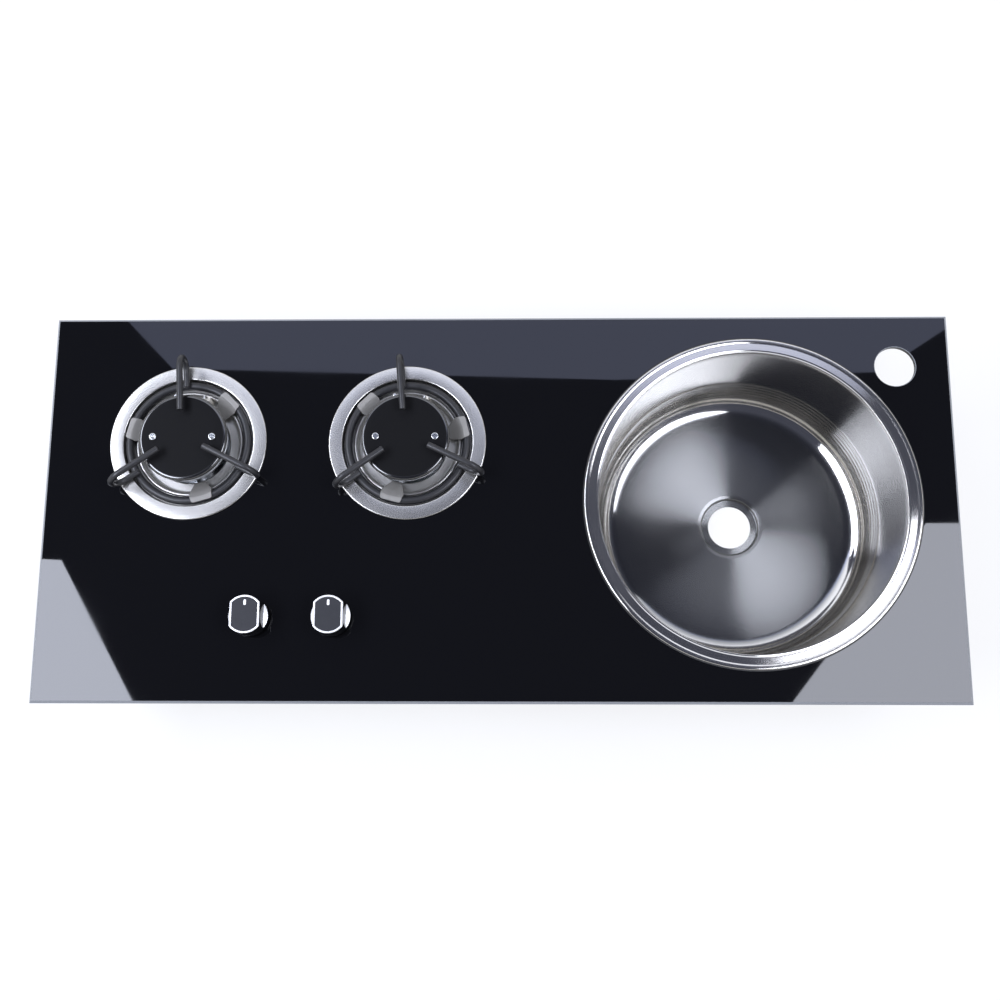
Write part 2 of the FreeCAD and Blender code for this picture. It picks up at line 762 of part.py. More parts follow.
def cap_screw_holes(low, high):
    return [Part.makeCylinder(cap_screw_radius + screw_clearance, high - low, place + up * low)
            for place in cap_screw_places()]


def burner_cap(side):
    low = cap_top - cap_thickness
    disc = Part.makeCylinder(cap_radius, cap_thickness, up * low)
    rim = [edge for edge in disc.Edges if edge.BoundBox.ZMin > cap_top - 1e-6]
    disc = disc.makeFillet(cap_round, rim)
    return disc.cut(cap_screw_holes(low - overshoot, cap_top + overshoot)).translated(burner_place(side))


def cap_screws(side):
    head = Part.makeCylinder(cap_screw_head_radius, cap_screw_head_height)
    rim = [edge for edge in head.Edges if edge.BoundBox.ZMin > cap_screw_head_height - 1e-6]
    head = head.makeFillet(cap_screw_head_round, rim)
    shank = Part.makeCylinder(cap_screw_radius, cap_screw_length, up * -cap_screw_length)
    arm = Vector(recess_length / 2, recess_width / 2, 0)
    recess = block(-arm + up * (cap_screw_head_height - recess_depth), arm + up * cap_screw_head_height)
    screw = head.fuse(shank).removeSplitter().cut([recess, recess.rotated(origin, up, 90)])
    return [screw.translated(place + up * cap_top + burner_place(side)) for place in cap_screw_places()]


def burner_head(side):
    flange_top = head_base + head_flange_thickness
    crown_top = flange_top + crown_height
    head = turned([
        (head_bore_radius, head_base), (head_flange_radius, head_base), (head_flange_radius, flange_top),
        (crown_radius, flange_top), (crown_radius, crown_top), (crown_radius - crown_wall, crown_top),
        (crown_radius - crown_wall, flange_top), (head_bore_radius, flange_top)])
    port = block(Vector(crown_radius - crown_wall - overshoot, -port_width / 2, crown_top - port_height),
                 Vector(crown_radius + overshoot, port_width / 2, crown_top + overshoot))
    cuts = around(port, 0, port_count) + cap_screw_holes(head_base - overshoot, flange_top + overshoot)
    return head.cut(cuts).translated(burner_place(side))


def mixing_way(side):
    return Vector(knob_x[side] - burner_x[side], knob_y - burner_y, 0)


def burner_body(side):
    floor = -chassis_drop
    way = mixing_way(side)
    length = way.Length - mouth_gap
    taper_top = -cup_depth + cup_taper
    taper_low = -cup_depth
    outside = turned([
        (0, floor), (cup_foot_radius, floor), (cup_foot_radius, taper_low), (cup_radius, taper_top),
        (cup_radius, head_base), (0, head_base)])
    foot = cup_foot_radius - cup_wall
    inside = turned([
        (0, floor + cup_wall), (foot, floor + cup_wall), (foot, taper_low),
        (cup_radius - cup_wall, taper_top), (cup_radius - cup_wall, head_base + overshoot),
        (0, head_base + overshoot)])
    tube_start = up * (jet_height + floor)
    mixing_tube = Part.makeCylinder(mixing_tube_radius, length, tube_start, way)
    bore = Part.makeCylinder(mixing_tube_radius - mixing_tube_wall, length + overshoot, tube_start, way)
    ear_top = -ear_drop
    ear_low = ear_top - ear_thickness
    ear_outer = sensor_radius + ear_margin
    ear_section = Part.makePolygon([
        Vector(foot, 0, ear_low), Vector(ear_outer, 0, ear_low), Vector(ear_outer, 0, ear_top),
        Vector(foot, 0, ear_top), Vector(foot, 0, ear_low)])
    ear_angle = thermocouple_angle - igniter_angle + 2 * ear_side_angle
    ear_face = Part.Face(ear_section).rotated(origin, up, igniter_angle - ear_side_angle)
    ear = ear_face.revolve(origin, up, ear_angle)
    body = outside.fuse([mixing_tube, ear]).removeSplitter().cut([inside, bore])
    bosses = [Part.makeCylinder(boss_radius, head_base - taper_top, place + up * taper_top)
              for place in cap_screw_places()]
    body = body.fuse(bosses).removeSplitter()
    cuts = cap_screw_holes(taper_top - overshoot, head_base + overshoot)
    for angle, radius in ((igniter_angle, ceramic_radius), (thermocouple_angle, probe_radius)):
        place = polar(sensor_radius, angle) + up * (ear_low - overshoot)
        cuts.append(Part.makeCylinder(radius + sensor_clearance, ear_thickness + 2 * overshoot, place))
    for x in (-burner_screw_spacing / 2, burner_screw_spacing / 2):
        cuts.append(Part.makeCylinder(burner_screw_radius + screw_clearance, cup_wall + 2 * overshoot,
                                      Vector(x, 0, floor - overshoot)))
    return body.cut(cuts).translated(burner_place(side))


def igniter_ceramic(side):
    rod = Part.makeCylinder(ceramic_radius, ceramic_length, up * (ceramic_top - ceramic_length))
    collar = Part.makeCylinder(ceramic_collar_radius, ceramic_collar_height, up * -ear_drop)
    return rod.fuse(collar).removeSplitter().translated(sensor_place(side, igniter_angle))


def igniter_tip(side):
    top = up * (ceramic_top + tip_rise)
    wire = tube([up * ceramic_top, top, top - polar(tip_reach, igniter_angle)], tip_bend, tip_radius)
    return wire.translated(sensor_place(side, igniter_angle))


def thermocouple(side):
    foot = up * (probe_top - probe_length)
    probe = Part.makeCylinder(probe_radius, probe_length, foot)
    tip = [edge for edge in probe.Edges if edge.BoundBox.ZMin > probe_top - 1e-6]
    probe = probe.makeFillet(probe_tip_round, tip)
    collar = Part.makeCylinder(probe_collar_radius, probe_collar_height, up * -ear_drop)
    place = sensor_place(side, thermocouple_angle)
    start = place + foot
    end = valve_place(side) - up * magnet_end
    low = [Vector(point.x, point.y, end.z - thermocouple_lead_drop) for point in (start, end)]
    lead = tube([start, low[0], low[1], end], thermocouple_lead_bend, thermocouple_lead_radius)
    return probe.fuse(collar).translated(place).fuse(lead).removeSplitter()


def plug_radius_at(height):
    share = (height - plug_lift) / plug_height
    return plug_foot_radius + (plug_top_radius - plug_foot_radius) * share


def gas_valve(side):
    chamber_top = plug_top + plug_clearance
    body = turned([
        (0, 0), (valve_radius, 0), (valve_radius, valve_height), (neck_radius, valve_height),
        (neck_radius, neck_end), (0, neck_end)])
    way = mixing_way(side) * -1
    axis_start = up * jet_height
    outlet = Part.makeCylinder(outlet_radius, outlet_length, axis_start, way)
    inlet_reach = rail_offset - rail_radius - fit_gap
    inlet = Part.makeCylinder(inlet_boss_radius, inlet_reach, axis_start, back * -1)
    flange_bore = stem_flange_radius + stem_flange_clearance
    stem_bore = stem_radius + stem_clearance
    hollow = turned([
        (0, -overshoot), (plug_radius_at(-overshoot) + plug_clearance, -overshoot),
        (plug_radius_at(chamber_top) + plug_clearance, chamber_top), (flange_bore, chamber_top),
        (flange_bore, stem_shoulder), (stem_bore, stem_shoulder), (stem_bore, neck_end + overshoot),
        (0, neck_end + overshoot)])
    ports = [Part.makeCylinder(port_radius, outlet_length + overshoot, axis_start, way),
             Part.makeCylinder(port_radius, inlet_reach + overshoot, axis_start, back * -1)]
    return body.fuse([outlet, inlet]).removeSplitter().cut([hollow] + ports).translated(valve_place(side))


def valve_plug(side):
    cone = turned([(0, plug_lift), (plug_foot_radius, plug_lift), (plug_top_radius, plug_top), (0, plug_top)])
    half = Vector(blade_width / 2 + blade_clearance, blade_thickness / 2 + blade_clearance, 0)
    slot_low = blade_low - push_travel - blade_slot_end
    blade_slot = block(-half + up * slot_low, half + up * (plug_top + overshoot))
    port_start = Vector(-plug_foot_radius - overshoot, 0, jet_height)
    port = Part.makeCylinder(port_radius, 2 * (plug_foot_radius + overshoot), port_start, Vector(1, 0, 0))
    return cone.cut([blade_slot, port]).translated(valve_place(side))


def valve_stem(side):
    shaft_top = stem_top + chassis_drop
    stem = turned([
        (0, stem_flange_low), (stem_flange_radius, stem_flange_low), (stem_flange_radius, stem_flange_top),
        (stem_radius, stem_flange_top), (stem_radius, spring_end), (stem_collar_radius, spring_end),
        (stem_collar_radius, stem_collar_end), (stem_radius, stem_collar_end), (stem_radius, shaft_top),
        (0, shaft_top)])
    half = Vector(blade_width / 2, blade_thickness / 2, 0)
    blade = block(-half + up * blade_low, half + up * stem_flange_low)
    return stem.fuse(blade).removeSplitter().translated(valve_place(side))


def stem_spring(side):
    low = neck_end + spring_wire_radius + contact_gap
    rise = spring_length - 2 * (spring_wire_radius + contact_gap)
    steps = 4 * spring_turns
    edges = []
    for i in range(steps):
        points = []
        for share in (i, i + 0.5, i + 1):
            points.append(polar(spring_radius, 90 * share) + up * (low + rise * share / steps))
        edges.append(Part.Arc(*points).toShape())
    return swept(edges, spring_wire_radius).translated(valve_place(side))


def safety_magnet(side):
    magnet = turned([
        (0, -magnet_end), (magnet_tail_radius, -magnet_end),
        (magnet_tail_radius, -magnet_length), (magnet_radius, -magnet_length), (magnet_radius, 0),
        (plug_foot_radius, 0), (plug_foot_radius, magnet_spigot), (0, magnet_spigot)])
    return magnet.translated(valve_place(side))


def gas_jet(side):
    way = mixing_way(side) * -1
    way.normalize()
    base = up * jet_height + way * outlet_length
    nose_base = base + way * jet_hex_length
    jet = hexagon(jet_hex_width, jet_hex_length, base, way)
    jet = jet.fuse(Part.makeCylinder(jet_nose_radius, jet_nose_length, nose_base, way)).removeSplitter()
    bore_length = jet_hex_length + jet_nose_length + 2 * overshoot
    bore = Part.makeCylinder(jet_bore, bore_length, base - way * overshoot, way)
    return jet.cut(bore).translated(valve_place(side))


def grip_outline(inset):
    half_width = knob_radius - knob_flat_depth - inset
    radius = knob_radius - inset
    half_length = math.sqrt(radius ** 2 - half_width ** 2)
    corners = [Vector(half_width, -half_length, 0), Vector(half_width, half_length, 0),
               Vector(-half_width, half_length, 0), Vector(-half_width, -half_length, 0)]
    edges = [
        Part.LineSegment(corners[0], corners[1]).toShape(),
        Part.Arc(corners[1], Vector(0, radius, 0), corners[2]).toShape(),
        Part.LineSegment(corners[2], corners[3]).toShape(),
        Part.Arc(corners[3], Vector(0, -radius, 0), corners[0]).toShape()]
    return Part.Face(Part.Wire(edges))


def grip_prism(inset, low, high):
    return grip_outline(inset).extrude(up * (high - low)).translated(up * low)


def knob_body(side):
    crescent_low = knob_step - trim_thickness
    base = Part.makeCylinder(knob_radius, crescent_low - knob_gap, up * knob_gap)
    grip = grip_prism(0, crescent_low, knob_top - trim_thickness)
    bore_top = stem_top + knob_bore_clearance
    bore = Part.makeCylinder(stem_radius + knob_bore_clearance, bore_top - knob_gap + overshoot,
                             up * (knob_gap - overshoot))
    return base.fuse(grip).removeSplitter().cut(bore).translated(knob_place(side))


def knob_trim(side):
    ring_low = knob_top - trim_thickness
    ring = grip_prism(0, ring_low, knob_top).cut(grip_prism(trim_width, ring_low, knob_top))
    step_low = knob_step - trim_thickness
    disc = Part.makeCylinder(knob_radius, trim_thickness, up * step_low)
    crescents = disc.cut(grip_prism(0, step_low, knob_step))
    return [solid.translated(knob_place(side)) for solid in ring.Solids + crescents.Solids]


def pointer_block(low, high):
    half = Vector(pointer_width / 2, pointer_length / 2, 0)
    middle = Vector(0, pointer_distance, 0)
    return block(middle - half + up * low, middle + half + up * high)


def knob_face(side):
    top = knob_top - face_recess
    plate = grip_prism(trim_width, knob_top - trim_thickness, top)
    return plate.cut(pointer_block(top - pointer_depth, top + overshoot)).translated(knob_place(side))


def knob_pointer(side):
    top = knob_top - face_recess
    return pointer_block(top - pointer_depth, top).translated(knob_place(side))


def shaft_seals():
    seals = []
    for side in sides:
        flange = Part.makeCylinder(shaft_seal_radius, shaft_seal_thickness)
        sleeve = Part.makeCylinder(shaft_hole_radius - contact_gap, glass_thickness, up * -glass_thickness)
        bore_length = glass_thickness + shaft_seal_thickness + 2 * overshoot
        bore = Part.makeCylinder(stem_radius + fit_gap, bore_length, up * (-glass_thickness - overshoot))
        seals.append(flange.fuse(sleeve).removeSplitter().cut(bore).translated(knob_place(side)))
    return seals


def gas_rail():
    start = Vector(knob_x["left"] - rail_overhang, rail_y, jet_z)
    corner = Vector(rail_corner_x, rail_y, jet_z)
    end = Vector(rail_corner_x, tray_back - tray_sheet - inlet_inside, jet_z)
    hollow_start = start + Vector(2 * rail_wall, 0, 0)
    rail = tube([start, corner, end], rail_bend, rail_radius)
    rail = rail.cut(tube([hollow_start, corner, end], rail_bend, rail_radius - rail_wall))
    holes = [Part.makeCylinder(port_radius, rail_radius, Vector(knob_x[side], rail_y, jet_z), back)
             for side in sides]
    return rail.cut(holes)


def gas_inlet():
    start = Vector(rail_corner_x, tray_back - tray_sheet - inlet_inside, jet_z)
    shank_end = inlet_inside + tray_sheet + inlet_nut_thickness
    length = shank_end + inlet_length
    collar = hexagon(inlet_nut_width, inlet_inside - fit_gap, start, back)
    shank = Part.makeCylinder(inlet_shank_radius, shank_end, start, back)
    spigot = Part.makeCylinder(inlet_radius, length, start, back)
    bore = Part.makeCylinder(inlet_bore, length + 2 * overshoot, start - back * overshoot, back)
    return collar.fuse([shank, spigot]).removeSplitter().cut(bore)


def inlet_nut():
    start = Vector(rail_corner_x, tray_back, jet_z)
    nut = hexagon(inlet_nut_width, inlet_nut_thickness, start, back)
    thread = Part.makeCylinder(inlet_shank_radius + contact_gap, inlet_nut_thickness + 2 * overshoot,
                               start - back * overshoot, back)
    return nut.cut(thread)


def module_ends():
    middle = burner_middle_x + polar(sensor_radius, igniter_angle).x
    return middle - module_length / 2, middle + module_length / 2


def ignition_module():
    x0, x1 = module_ends()
    y1 = sensor_place("left", igniter_angle).y + module_back
    low = Vector(x0, y1 - module_depth, tray_sheet)
    return rounded_block(low, Vector(x1, y1, tray_sheet + module_height), module_round)


def ignition_leads():
    leads = []
    for side, end_x in zip(sides, module_ends()):
        top = sensor_place(side, igniter_angle) + up * (ceramic_top - ceramic_length)
        low = Vector(top.x, top.y, ignition_lead_height)
        leads.append(tube([top, low, Vector(end_x, top.y, ignition_lead_height)], ignition_lead_bend,
                          ignition_lead_radius))
    return leads


def ignition_switches():
    switches = []
    for side in sides:
        x0 = knob_x[side] + neck_radius + fit_gap
        low = Vector(x0, knob_y - switch_width / 2, chassis_top + valve_height)
        switches.append(block(low, low + Vector(switch_length, switch_width, switch_height)))
    return switches


os.makedirs("parts", exist_ok=True)

whole_pieces = [
    glass_panel, sink_bowl, sink_seal, burner_tray, burner_chassis, gas_rail, gas_inlet, inlet_nut,
    ignition_module]
grouped_pieces = [
    panel_seal, sink_brackets, sink_screws, tray_bond, chassis_rivets, burner_screws, shaft_seals,
    ignition_leads, ignition_switches]
side_pieces = [
    drip_bowl, bowl_seal, pan_support, burner_cap, burner_head, burner_body, igniter_ceramic, igniter_tip,
    thermocouple, gas_valve, valve_plug, valve_stem, stem_spring, safety_magnet, gas_jet, knob_body,
    knob_face, knob_pointer]
side_groups = [ring_clips, cap_screws, knob_trim]

for piece in whole_pieces:
    save(piece.__name__, piece().Solids)
for piece in grouped_pieces:
    save(piece.__name__, piece())
for side in sides:
    for piece in side_pieces:
        save(piece.__name__ + "_" + side, piece(side).Solids)
    for piece in side_groups:
        save(piece.__name__ + "_" + side, piece(side))
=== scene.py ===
import bpy
import json
import math
from mathutils import Matrix, Vector


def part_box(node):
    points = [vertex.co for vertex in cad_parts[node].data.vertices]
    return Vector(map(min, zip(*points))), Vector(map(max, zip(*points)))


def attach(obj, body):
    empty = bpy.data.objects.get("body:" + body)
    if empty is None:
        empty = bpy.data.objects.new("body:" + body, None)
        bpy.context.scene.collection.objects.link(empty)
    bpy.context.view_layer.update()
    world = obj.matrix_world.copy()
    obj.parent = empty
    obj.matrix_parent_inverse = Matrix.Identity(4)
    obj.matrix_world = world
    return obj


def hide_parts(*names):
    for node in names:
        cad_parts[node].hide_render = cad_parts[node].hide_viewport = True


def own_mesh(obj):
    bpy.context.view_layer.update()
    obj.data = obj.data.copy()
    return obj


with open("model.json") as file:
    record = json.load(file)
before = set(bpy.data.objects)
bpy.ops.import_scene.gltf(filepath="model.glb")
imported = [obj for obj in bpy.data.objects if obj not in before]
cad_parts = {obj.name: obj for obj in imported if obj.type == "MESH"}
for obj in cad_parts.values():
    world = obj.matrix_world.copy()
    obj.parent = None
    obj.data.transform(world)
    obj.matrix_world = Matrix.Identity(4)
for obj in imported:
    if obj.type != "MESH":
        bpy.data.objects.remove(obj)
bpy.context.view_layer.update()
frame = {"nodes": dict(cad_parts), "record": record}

mm = 0.001
sides = ("left", "right")
fullTurn = 2 * math.pi
mergeGap = 0.002 * mm              # vertices closer than this become one
sameSpot = 0.001 * mm              # a point this near to a place is on it
levelSlack = 0.1 * mm              # how far from a height an edge still counts as on it
sharpAngle = math.radians(40)      # a steeper fold counts as an edge


# Places read from the frame
def boxMiddle(node):
    low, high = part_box(node)
    return (low + high) / 2


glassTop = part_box("glass_panel")[1].z
sinkPlace = Vector((boxMiddle("sink_bowl").x, boxMiddle("sink_bowl").y, glassTop))
burnerPlace = {}
knobPlace = {}
for side in sides:
    cap = boxMiddle("burner_cap_" + side)
    knob = boxMiddle("knob_body_" + side)
    burnerPlace[side] = Vector((cap.x, cap.y, glassTop))
    knobPlace[side] = Vector((knob.x, knob.y, glassTop))
print("frame loaded:", len(frame["nodes"]), "nodes, glass top at", round(glassTop / mm, 2), "mm")


# Small helpers for modelling
def deselectAll():
    if bpy.context.object and bpy.context.object.mode != "OBJECT":
        bpy.ops.object.mode_set(mode="OBJECT")
    bpy.ops.object.select_all(action="DESELECT")


def pick(piece):
    deselectAll()
    piece.select_set(True)
    bpy.context.view_layer.objects.active = piece


def editPiece(piece, mode="VERT", action="DESELECT"):
    pick(piece)
    bpy.ops.object.mode_set(mode="EDIT")
    bpy.ops.mesh.select_mode(type=mode)
    bpy.ops.mesh.select_all(action=action)


def selectOnly(mesh, wanted):
    # wanted says yes or no for each edge
    for group in (mesh.vertices, mesh.edges, mesh.polygons):
        group.foreach_set("select", [False] * len(group))
    mesh.edges.foreach_set("select", wanted)


def selectEdges(piece, test):
    # the test gets both ends of each edge; the piece is left in edit mode
    bpy.ops.object.mode_set(mode="OBJECT")
    mesh = piece.data
    ends = [[mesh.vertices[i].co for i in edge.vertices] for edge in mesh.edges]
    selectOnly(mesh, [test(first, second) for first, second in ends])
    bpy.ops.object.mode_set(mode="EDIT")


def selectFaces(piece, test):
    # the test gets the way each face looks; the piece is left in edit mode
    bpy.ops.object.mode_set(mode="OBJECT")
    for face in piece.data.polygons:
        face.select = test(face.normal)
    bpy.ops.object.mode_set(mode="EDIT")


def applyModifier(piece, kind, **settings):
    pick(piece)
    modifier = piece.modifiers.new(kind.lower(), kind)
    for name, value in settings.items():
        setattr(modifier, name, value)
    bpy.ops.object.modifier_apply(modifier=modifier.name)


def combine(piece, other, operation):
    applyModifier(piece, "BOOLEAN", operation=operation, solver="EXACT", object=other)
    bpy.data.objects.remove(other)


def joinInto(main, others):
    pick(main)
    for piece in others:
        piece.select_set(True)
    bpy.ops.object.join()


def recalculate(piece):
    # welds what lies together and turns the faces outwards
    editPiece(piece, action="SELECT")
    bpy.ops.mesh.remove_doubles(threshold=mergeGap)
    bpy.ops.mesh.normals_make_consistent(inside=False)
    bpy.ops.object.mode_set(mode="OBJECT")


def roundedSection(points, radii, arcStep=9.0):
    # corners of a section, in mm, become arcs with a point about every arcStep degrees
    section = [Vector(points[0])]
    for before, corner, after, radius in zip(points, points[1:], points[2:], radii):
        corner = Vector(corner)
        behind = (Vector(before) - corner).normalized()
        ahead = (Vector(after) - corner).normalized()
        if radius == 0:
            section.append(corner)
            continue
        half = behind.angle(ahead) / 2
        middle = corner + (behind + ahead).normalized() * (radius / math.sin(half))
        start = corner + behind * (radius / math.tan(half)) - middle
        end = corner + ahead * (radius / math.tan(half)) - middle
        sweep = math.atan2(start.x * end.y - start.y * end.x, start.dot(end))
        count = max(2, round(abs(math.degrees(sweep)) / arcStep))
        for i in range(count + 1):
            angle = sweep * i / count
            section.append(middle + Vector((
                start.x * math.cos(angle) - start.y * math.sin(angle),
                start.x * math.sin(angle) + start.y * math.cos(angle))))
    section.append(Vector(points[-1]))
    return section


def addedPiece(name, scale=(1, 1, 1)):
    # the piece just added takes its name, and its place and size go into its mesh
    piece = bpy.context.object
    piece.name = name
    piece.scale = scale
    bpy.ops.object.transform_apply(location=True, rotation=True, scale=True)
    return piece


def pull(x, y, z):
    # what is selected is drawn out, in mm
    bpy.ops.mesh.extrude_region_move(TRANSFORM_OT_translate={"value": (x * mm, y * mm, z * mm)})


def walkLine(name, points):
    # one vertex is pulled along a line of points, in mm; the piece is left in edit mode
    deselectAll()
    bpy.ops.mesh.primitive_plane_add(size=mm)
    piece = addedPiece(name)
    editPiece(piece, action="SELECT")
    bpy.ops.mesh.merge(type="CENTER")
    bpy.ops.transform.translate(value=points[0] * mm)
    for before, after in zip(points, points[1:]):
        bpy.ops.mesh.extrude_region_move(TRANSFORM_OT_translate={"value": (after - before) * mm})
    bpy.ops.mesh.select_all(action="SELECT")
    return piece


ringSlack = {"out": 0.2 * mm, "up": 0.02 * mm}     # how near a face lies to the ring it belongs to


def turnSection(name, section, steps, sheet=0.0):
    # a section is spun round the upright axis; its open side is on the right of the way it runs
    piece = walkLine(name, [Vector((point.x, 0, point.y)) for point in section])
    bpy.ops.mesh.spin(steps=steps, angle=fullTurn, center=(0, 0, 0), axis=(0, 0, 1))
    recalculate(piece)
    widest = max(range(len(section) - 1), key=lambda i: section[i].x + section[i + 1].x)
    along = section[widest + 1] - section[widest]
    ringMiddle = (section[widest] + section[widest + 1]) / 2 * mm
    facing = Vector((along.y, -along.x)).normalized()
    for face in piece.data.polygons:
        out = math.hypot(face.center.x, face.center.y)
        if abs(face.center.z - ringMiddle.y) < ringSlack["up"] and abs(out - ringMiddle.x) < ringSlack["out"]:
            radial = (face.normal.x * face.center.x + face.normal.y * face.center.y) / out
            if Vector((radial, face.normal.z)).dot(facing) < 0:
                editPiece(piece, action="SELECT")
                bpy.ops.mesh.flip_normals()
                bpy.ops.object.mode_set(mode="OBJECT")
            break
    if sheet:
        applyModifier(piece, "SOLIDIFY", thickness=sheet * mm, offset=-1.0, use_even_offset=True)
    return piece


def rod(name, radius, low, high, place=(0.0, 0.0), vertices=32):
    # upright round bar, in mm
    deselectAll()
    bpy.ops.mesh.primitive_cylinder_add(
        vertices=vertices, radius=radius * mm, depth=(high - low) * mm,
        location=(place[0] * mm, place[1] * mm, (low + high) / 2 * mm))
    return addedPiece(name)


def bevelAt(piece, height, width, segments=3):
    # softens the sharp edges that lie at one height, in mm
    editPiece(piece, "EDGE")
    bpy.ops.mesh.edges_select_sharp(sharpness=sharpAngle)
    bpy.ops.object.mode_set(mode="OBJECT")
    mesh = piece.data
    near = [abs(vertex.co.z - height * mm) <= levelSlack for vertex in mesh.vertices]
    selectOnly(mesh, [edge.select and all(near[i] for i in edge.vertices) for edge in mesh.edges])
    bpy.ops.object.mode_set(mode="EDIT")
    bpy.ops.mesh.bevel(offset=width * mm, segments=segments, affect="EDGES")
    bpy.ops.object.mode_set(mode="OBJECT")


def copyTo(model, name, place=(0, 0, 0), turn=0.0):
    piece = model.copy()
    piece.data = model.data.copy()
    piece.name = name
    piece.data.name = name
    bpy.context.scene.collection.objects.link(piece)
    piece.data.transform(Matrix.Translation(place) @ Matrix.Rotation(turn, 4, "Z"))
    return piece


def finishPiece(piece, body, node, slot, angle=35.0):
    pick(piece)
    bpy.ops.object.shade_smooth_by_angle(angle=math.radians(angle))
    piece.data.materials.clear()
    piece.data.materials.append(finishes[slot])
    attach(piece, body)
    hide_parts(node)


def placePair(model, node, slot, places, body=None, turns=None, looks=None):
    # one copy per side, each on its own body where one is named; the model goes
    for side in sides:
        turn = math.radians(turns[side]) if turns else 0.0
        piece = copyTo(model, model.name + "_" + side, places[side], turn)
        finishPiece(piece, body + "_" + side if body else "panel", node + "_" + side, slot)
        if looks:
            piece.data.materials[0] = looks[side]
    bpy.data.objects.remove(model)


# Materials
smooth = {"interpolation_type": "SMOOTHSTEP"}
colorMix = {"data_type": "RGBA"}
numberMix = {"data_type": "FLOAT"}


def linearColor(hexColor):
    # from the screen's scale to the light's
    channels = []
    for i in (1, 3, 5):
        value = int(hexColor[i:i + 2], 16) / 255
        channels.append(value / 12.92 if value <= 0.04045 else ((value + 0.055) / 1.055) ** 2.4)
    return (*channels, 1.0)


def addNode(material, kind, settings=None, values=None, links=None):
    node = material.node_tree.nodes.new(kind)
    for name, value in (settings or {}).items():
        setattr(node, name, value)
    for name, value in (values or {}).items():
        node.inputs[name].default_value = value
    for name, socket in (links or {}).items():
        material.node_tree.links.new(socket, node.inputs[name])
    return node


def newMaterial(name):
    material = bpy.data.materials.new(name)
    material.use_nodes = True
    material.node_tree.nodes.clear()
    return material


def closeMaterial(material, shader):
    addNode(material, "ShaderNodeOutputMaterial", links={"Surface": shader.outputs["BSDF"]})
    return material


def temperedGlass(look):
    # soda-lime plate with black ceramic paint behind: a deep mirror, with dull grey ground edges
    sheet = newMaterial("temperedGlass")
    low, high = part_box("glass_panel")
    middle = (low + high) / 2
    half = high.z - middle.z
    skin = look["skin"] * mm
    source = addNode(sheet, "ShaderNodeTexCoord").outputs["Object"]
    place = addNode(sheet, "ShaderNodeMapping", None, {"Location": -middle}, {"Vector": source}).outputs[0]
    apart = addNode(sheet, "ShaderNodeVectorMath", {"operation": "ABSOLUTE"}, None, {0: place})
    past = addNode(
        sheet, "ShaderNodeVectorMath", {"operation": "SUBTRACT"}, {1: high - middle}, {0: apart.outputs[0]})
    pastAxes = addNode(sheet, "ShaderNodeSeparateXYZ", links={"Vector": past.outputs[0]})
    height = addNode(sheet, "ShaderNodeSeparateXYZ", links={"Vector": place}).outputs["Z"]
    outermost = addNode(
        sheet, "ShaderNodeMath", {"operation": "MAXIMUM"}, None,
        {0: pastAxes.outputs["X"], 1: pastAxes.outputs["Y"]})
    outerEdge = addNode(
        sheet, "ShaderNodeMath", {"operation": "GREATER_THAN"}, {1: -look["edgeBand"] * mm},
        {0: outermost.outputs[0]})
    ground = addNode(sheet, "ShaderNodeMath", {"operation": "LESS_THAN"}, {1: half - skin}, {0: height})
    arris = addNode(
        sheet, "ShaderNodeMath", {"operation": "GREATER_THAN"}, {1: half - look["arris"] * mm}, {0: height})
    showing = addNode(
        sheet, "ShaderNodeMath", {"operation": "MAXIMUM"}, None,
        {0: outerEdge.outputs[0], 1: arris.outputs[0]})
    pale = addNode(
        sheet, "ShaderNodeMath", {"operation": "MULTIPLY"}, None,
        {0: ground.outputs[0], 1: showing.outputs[0]})
    painted = addNode(sheet, "ShaderNodeMath", {"operation": "LESS_THAN"}, {1: skin - half}, {0: height})
    grit = addNode(
        sheet, "ShaderNodeTexNoise", None, {"Scale": 1 / (look["grit"] * mm), "Detail": 3.0},
        {"Vector": place})
    wipe = addNode(
        sheet, "ShaderNodeTexNoise", None, {"Scale": 1 / (look["wipe"] * mm), "Detail": 4.0},
        {"Vector": place})
    edgeTone = addNode(
        sheet, "ShaderNodeMix", colorMix,
        {6: linearColor(look["groundDark"]), 7: linearColor(look["groundLight"])}, {0: grit.outputs["Fac"]})
    tone = addNode(
        sheet, "ShaderNodeMix", colorMix, {6: linearColor(look["face"])},
        {0: pale.outputs[0], 7: edgeTone.outputs[2]})
    backTone = addNode(
        sheet, "ShaderNodeMix", colorMix, {7: linearColor(look["paint"])},
        {0: painted.outputs[0], 6: tone.outputs[2]})
    gloss = addNode(
        sheet, "ShaderNodeMapRange", None,
        {"From Min": look["wipeRange"][0], "From Max": look["wipeRange"][1],
         "To Min": look["gloss"][0], "To Max": look["gloss"][1]}, {"Value": wipe.outputs["Fac"]})
    dull = addNode(
        sheet, "ShaderNodeMix", numberMix, {3: look["groundGloss"]},
        {0: ground.outputs[0], 2: gloss.outputs[0]})
    shader = addNode(
        sheet, "ShaderNodeBsdfPrincipled", None, {"IOR": look["ior"]},
        {"Base Color": backTone.outputs[2], "Roughness": dull.outputs[0]})
    return closeMaterial(sheet, shader)


